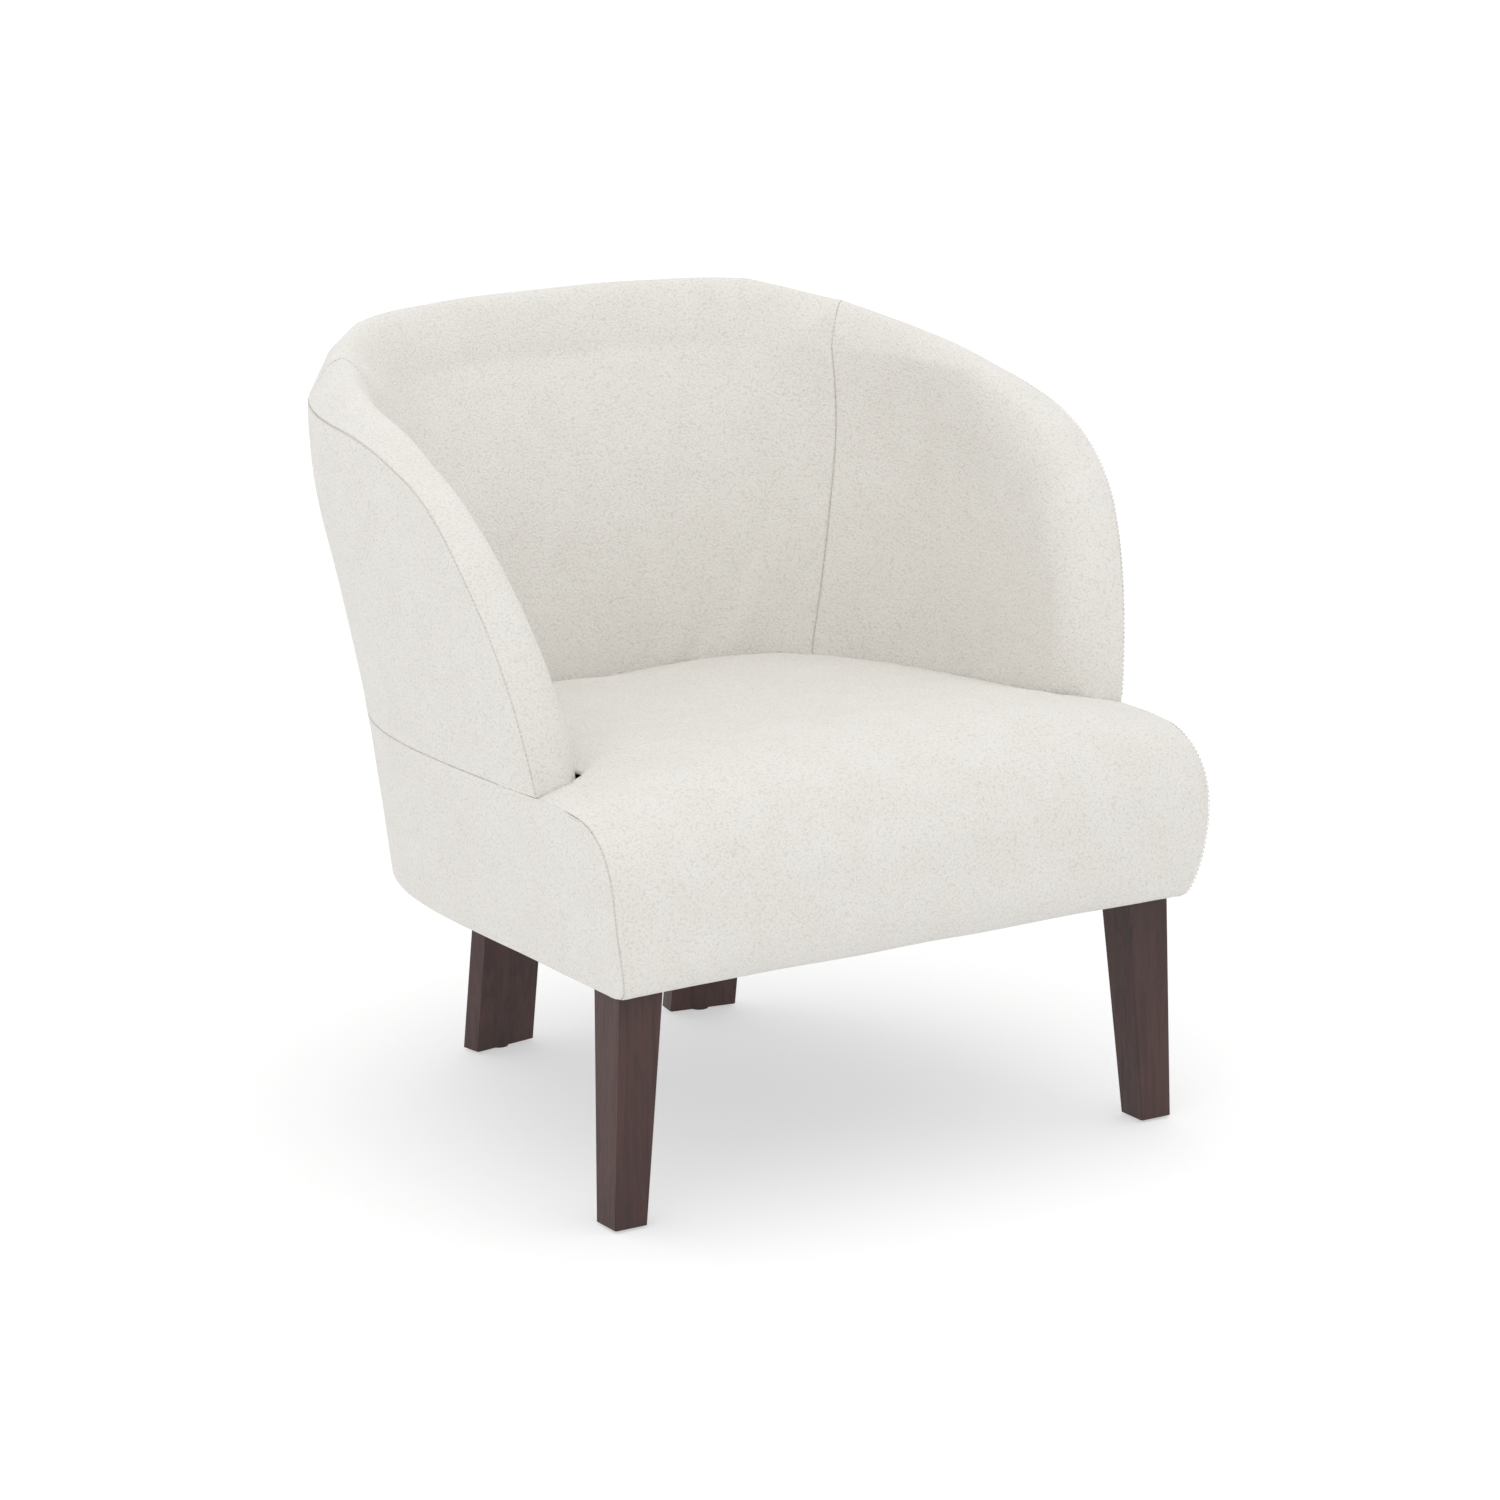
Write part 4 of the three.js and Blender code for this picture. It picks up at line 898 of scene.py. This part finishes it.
def cad_finishes():
    """A stuff for each material slot of the solids that are shown as they are."""
    return {
        "espresso_wood": stained_wood(
            "espresso_wood", (9, 9, 0.8), (0.024, 0.008, 0.0065), (0.07, 0.025, 0.02), 0.46,
        ),
        "frame_timber": stained_wood(
            "frame_timber", (1, 8, 8), (0.4, 0.27, 0.15), (0.62, 0.46, 0.29), 0.62,
        ),
        "plywood": stained_wood("plywood", (6, 6, 1), (0.42, 0.28, 0.14), (0.6, 0.43, 0.25), 0.6),
        "padding_foam": speckled("padding_foam", (0.85, 0.78, 0.55), 900, 0.9, 0.0006),
        "zinc_steel": speckled("zinc_steel", (0.6, 0.61, 0.63), 400, 0.38, 0.0001, 1.0),
        "spring_steel": speckled("spring_steel", (0.12, 0.12, 0.13), 500, 0.42, 0.0001, 1.0),
        "deck_cloth": speckled("deck_cloth", (0.42, 0.3, 0.18), 700, 0.95, 0.0006),
        "dust_cloth": speckled("dust_cloth", (0.02, 0.02, 0.022), 900, 0.95, 0.0004),
        "glide_plastic": speckled("glide_plastic", (0.025, 0.024, 0.024), 600, 0.5, 0.0001),
    }


def finish_cad_nodes():
    """Give every carried-over solid its own stuff."""
    finishes = cad_finishes()
    for entry in frame["record"]["subparts"]:
        made = finishes.get(entry["material_slot"])
        if made is None:
            continue
        node = frame["nodes"][entry["node"]]
        for slot in node.material_slots:
            slot.material = made
        if not node.material_slots:
            node.data.materials.append(made)


# ----------------------------------------------------------------------------------------- chair

def make_upholstery():
    """All fabric panels, each with the most that its padding swells, and their stitches."""
    fabric = boucle_fabric()
    sewing = thread()
    # Name, panel of the left side, stitched seams, CAD nodes it stands for, most swell, seed
    pairs = (
        ("inner_arm", inner_panel(-0.6, INNER_SEAM, ("end",)), ("end",),
         ("inner_arm_cover", "arm_foam"), 3.0, 3.1),
        ("outer_arm", outer_panel(0, OUTER_SEAM, ("foot", "end")), ("top", "foot", "end"),
         ("outer_arm_cover",), 3.0, 11.9),
        ("base", base_panel(0, OUTER_SEAM, ("top", "end")), ("start", "end"),
         ("base_band",), 2.5, 19.7),
    )
    for name, left, sewn, nodes, most, seed in pairs:
        right_sewn = [opposite(edge) for edge in sewn]
        for side, panel, edges in (("left", left, sewn), ("right", mirrored(left), right_sewn)):
            own_nodes = [f"{node}_{side}" for node in nodes]
            own_seed = seed + len(side)
            upholster(f"{name}_panel_{side}", panel, own_nodes, most, own_seed, fabric)
            stitched(f"{name}_stitches_{side}", panel, edges, sewing)
    inner_back = inner_panel(INNER_SEAM, 4 - INNER_SEAM, ("start", "end"))
    upholster("inner_back_panel", inner_back, ("inner_back_cover", "back_foam"), 3.0, 5.3, fabric)
    outer_back = outer_panel(OUTER_SEAM, 4 - OUTER_SEAM, ("foot", "start", "end"))
    upholster("outer_back_panel", outer_back, ("outer_back_cover",), 3.0, 17.1, fabric)
    stitched("outer_back_stitches", outer_back, ("top", "foot"), sewing)
    rear_base = base_panel(OUTER_SEAM, 4 - OUTER_SEAM, ("top", "start", "end"))
    upholster("base_panel_rear", rear_base, ("rear_base_band",), 2.5, 29.3, fabric)
    upholster("seat_panel", seat_panel(), ("seat_cover", "seat_foam"), 4.0, 31.7, fabric)


def make_stage():
    """A pale floor that curves up into a backdrop."""
    front, curve_start, radius, top, half_width_m, steps = -6, 2.4, 1.6, 7, 9, 16
    profile = [(front, 0), (curve_start, 0)]
    for i in range(1, steps + 1):
        angle = i / steps * math.pi / 2
        profile.append((curve_start + radius * math.sin(angle), radius * (1 - math.cos(angle))))
    profile.append((curve_start + radius, top))
    vertices = [(x, y, z) for x in (-half_width_m, half_width_m) for y, z in profile]
    count = len(profile)
    faces = [(i, i + count, i + count + 1, i + 1) for i in range(count - 1)]
    mesh = bpy.data.meshes.new("floor")
    mesh.from_pydata(vertices, [], faces)
    mesh.shade_smooth()
    floor = bpy.data.objects.new("floor", mesh)
    bpy.context.scene.collection.objects.link(floor)
    made, _, shader = new_material("pale_floor")
    shader.inputs["Base Color"].default_value = (0.5, 0.5, 0.5, 1)
    shader.inputs["Roughness"].default_value = 0.9
    shader.inputs["Emission Color"].default_value = (1, 1, 1, 1)
    shader.inputs["Emission Strength"].default_value = 0.5
    mesh.materials.append(made)


def area_light(name, place, target, size, power_w):
    """A square soft light."""
    light = bpy.data.lights.new(name, "AREA")
    light.energy = power_w
    light.size = size
    holder = bpy.data.objects.new(name, light)
    holder.location = place
    holder.rotation_euler = (Vector(target) - Vector(place)).to_track_quat("-Z", "Y").to_euler()
    bpy.context.scene.collection.objects.link(holder)


def make_lights():
    """Soft studio light, a little stronger from the upper left of the view."""
    world = bpy.data.worlds.new("studio")
    world.use_nodes = True
    world.node_tree.nodes["Background"].inputs["Color"].default_value = (1, 1, 1, 1)
    world.node_tree.nodes["Background"].inputs["Strength"].default_value = 1.0
    bpy.context.scene.world = world
    area_light("key", (-2.6, -2.4, 3.2), (0, 0, 0.4), 2.2, 16)
    area_light("top", (0.2, 0.2, 3.6), (0, 0, 0.4), 2.6, 16)
    bpy.context.scene.view_settings.view_transform = "Standard"


def make_camera():
    """A long lens from the front left, a little above the seat."""
    camera = bpy.data.cameras.new("camera")
    camera.lens = CAMERA_LENS
    camera.sensor_width = 36
    camera.clip_end = 100
    holder = bpy.data.objects.new("camera", camera)
    holder.location = to_metres(CAMERA_PLACE)
    holder.rotation_euler = (math.pi / 2 - CAMERA_ELEVATION, 0, CAMERA_AZIMUTH)
    bpy.context.scene.collection.objects.link(holder)
    bpy.context.scene.camera = holder


make_camera()
make_upholstery()
finish_cad_nodes()
make_stage()
make_lights()
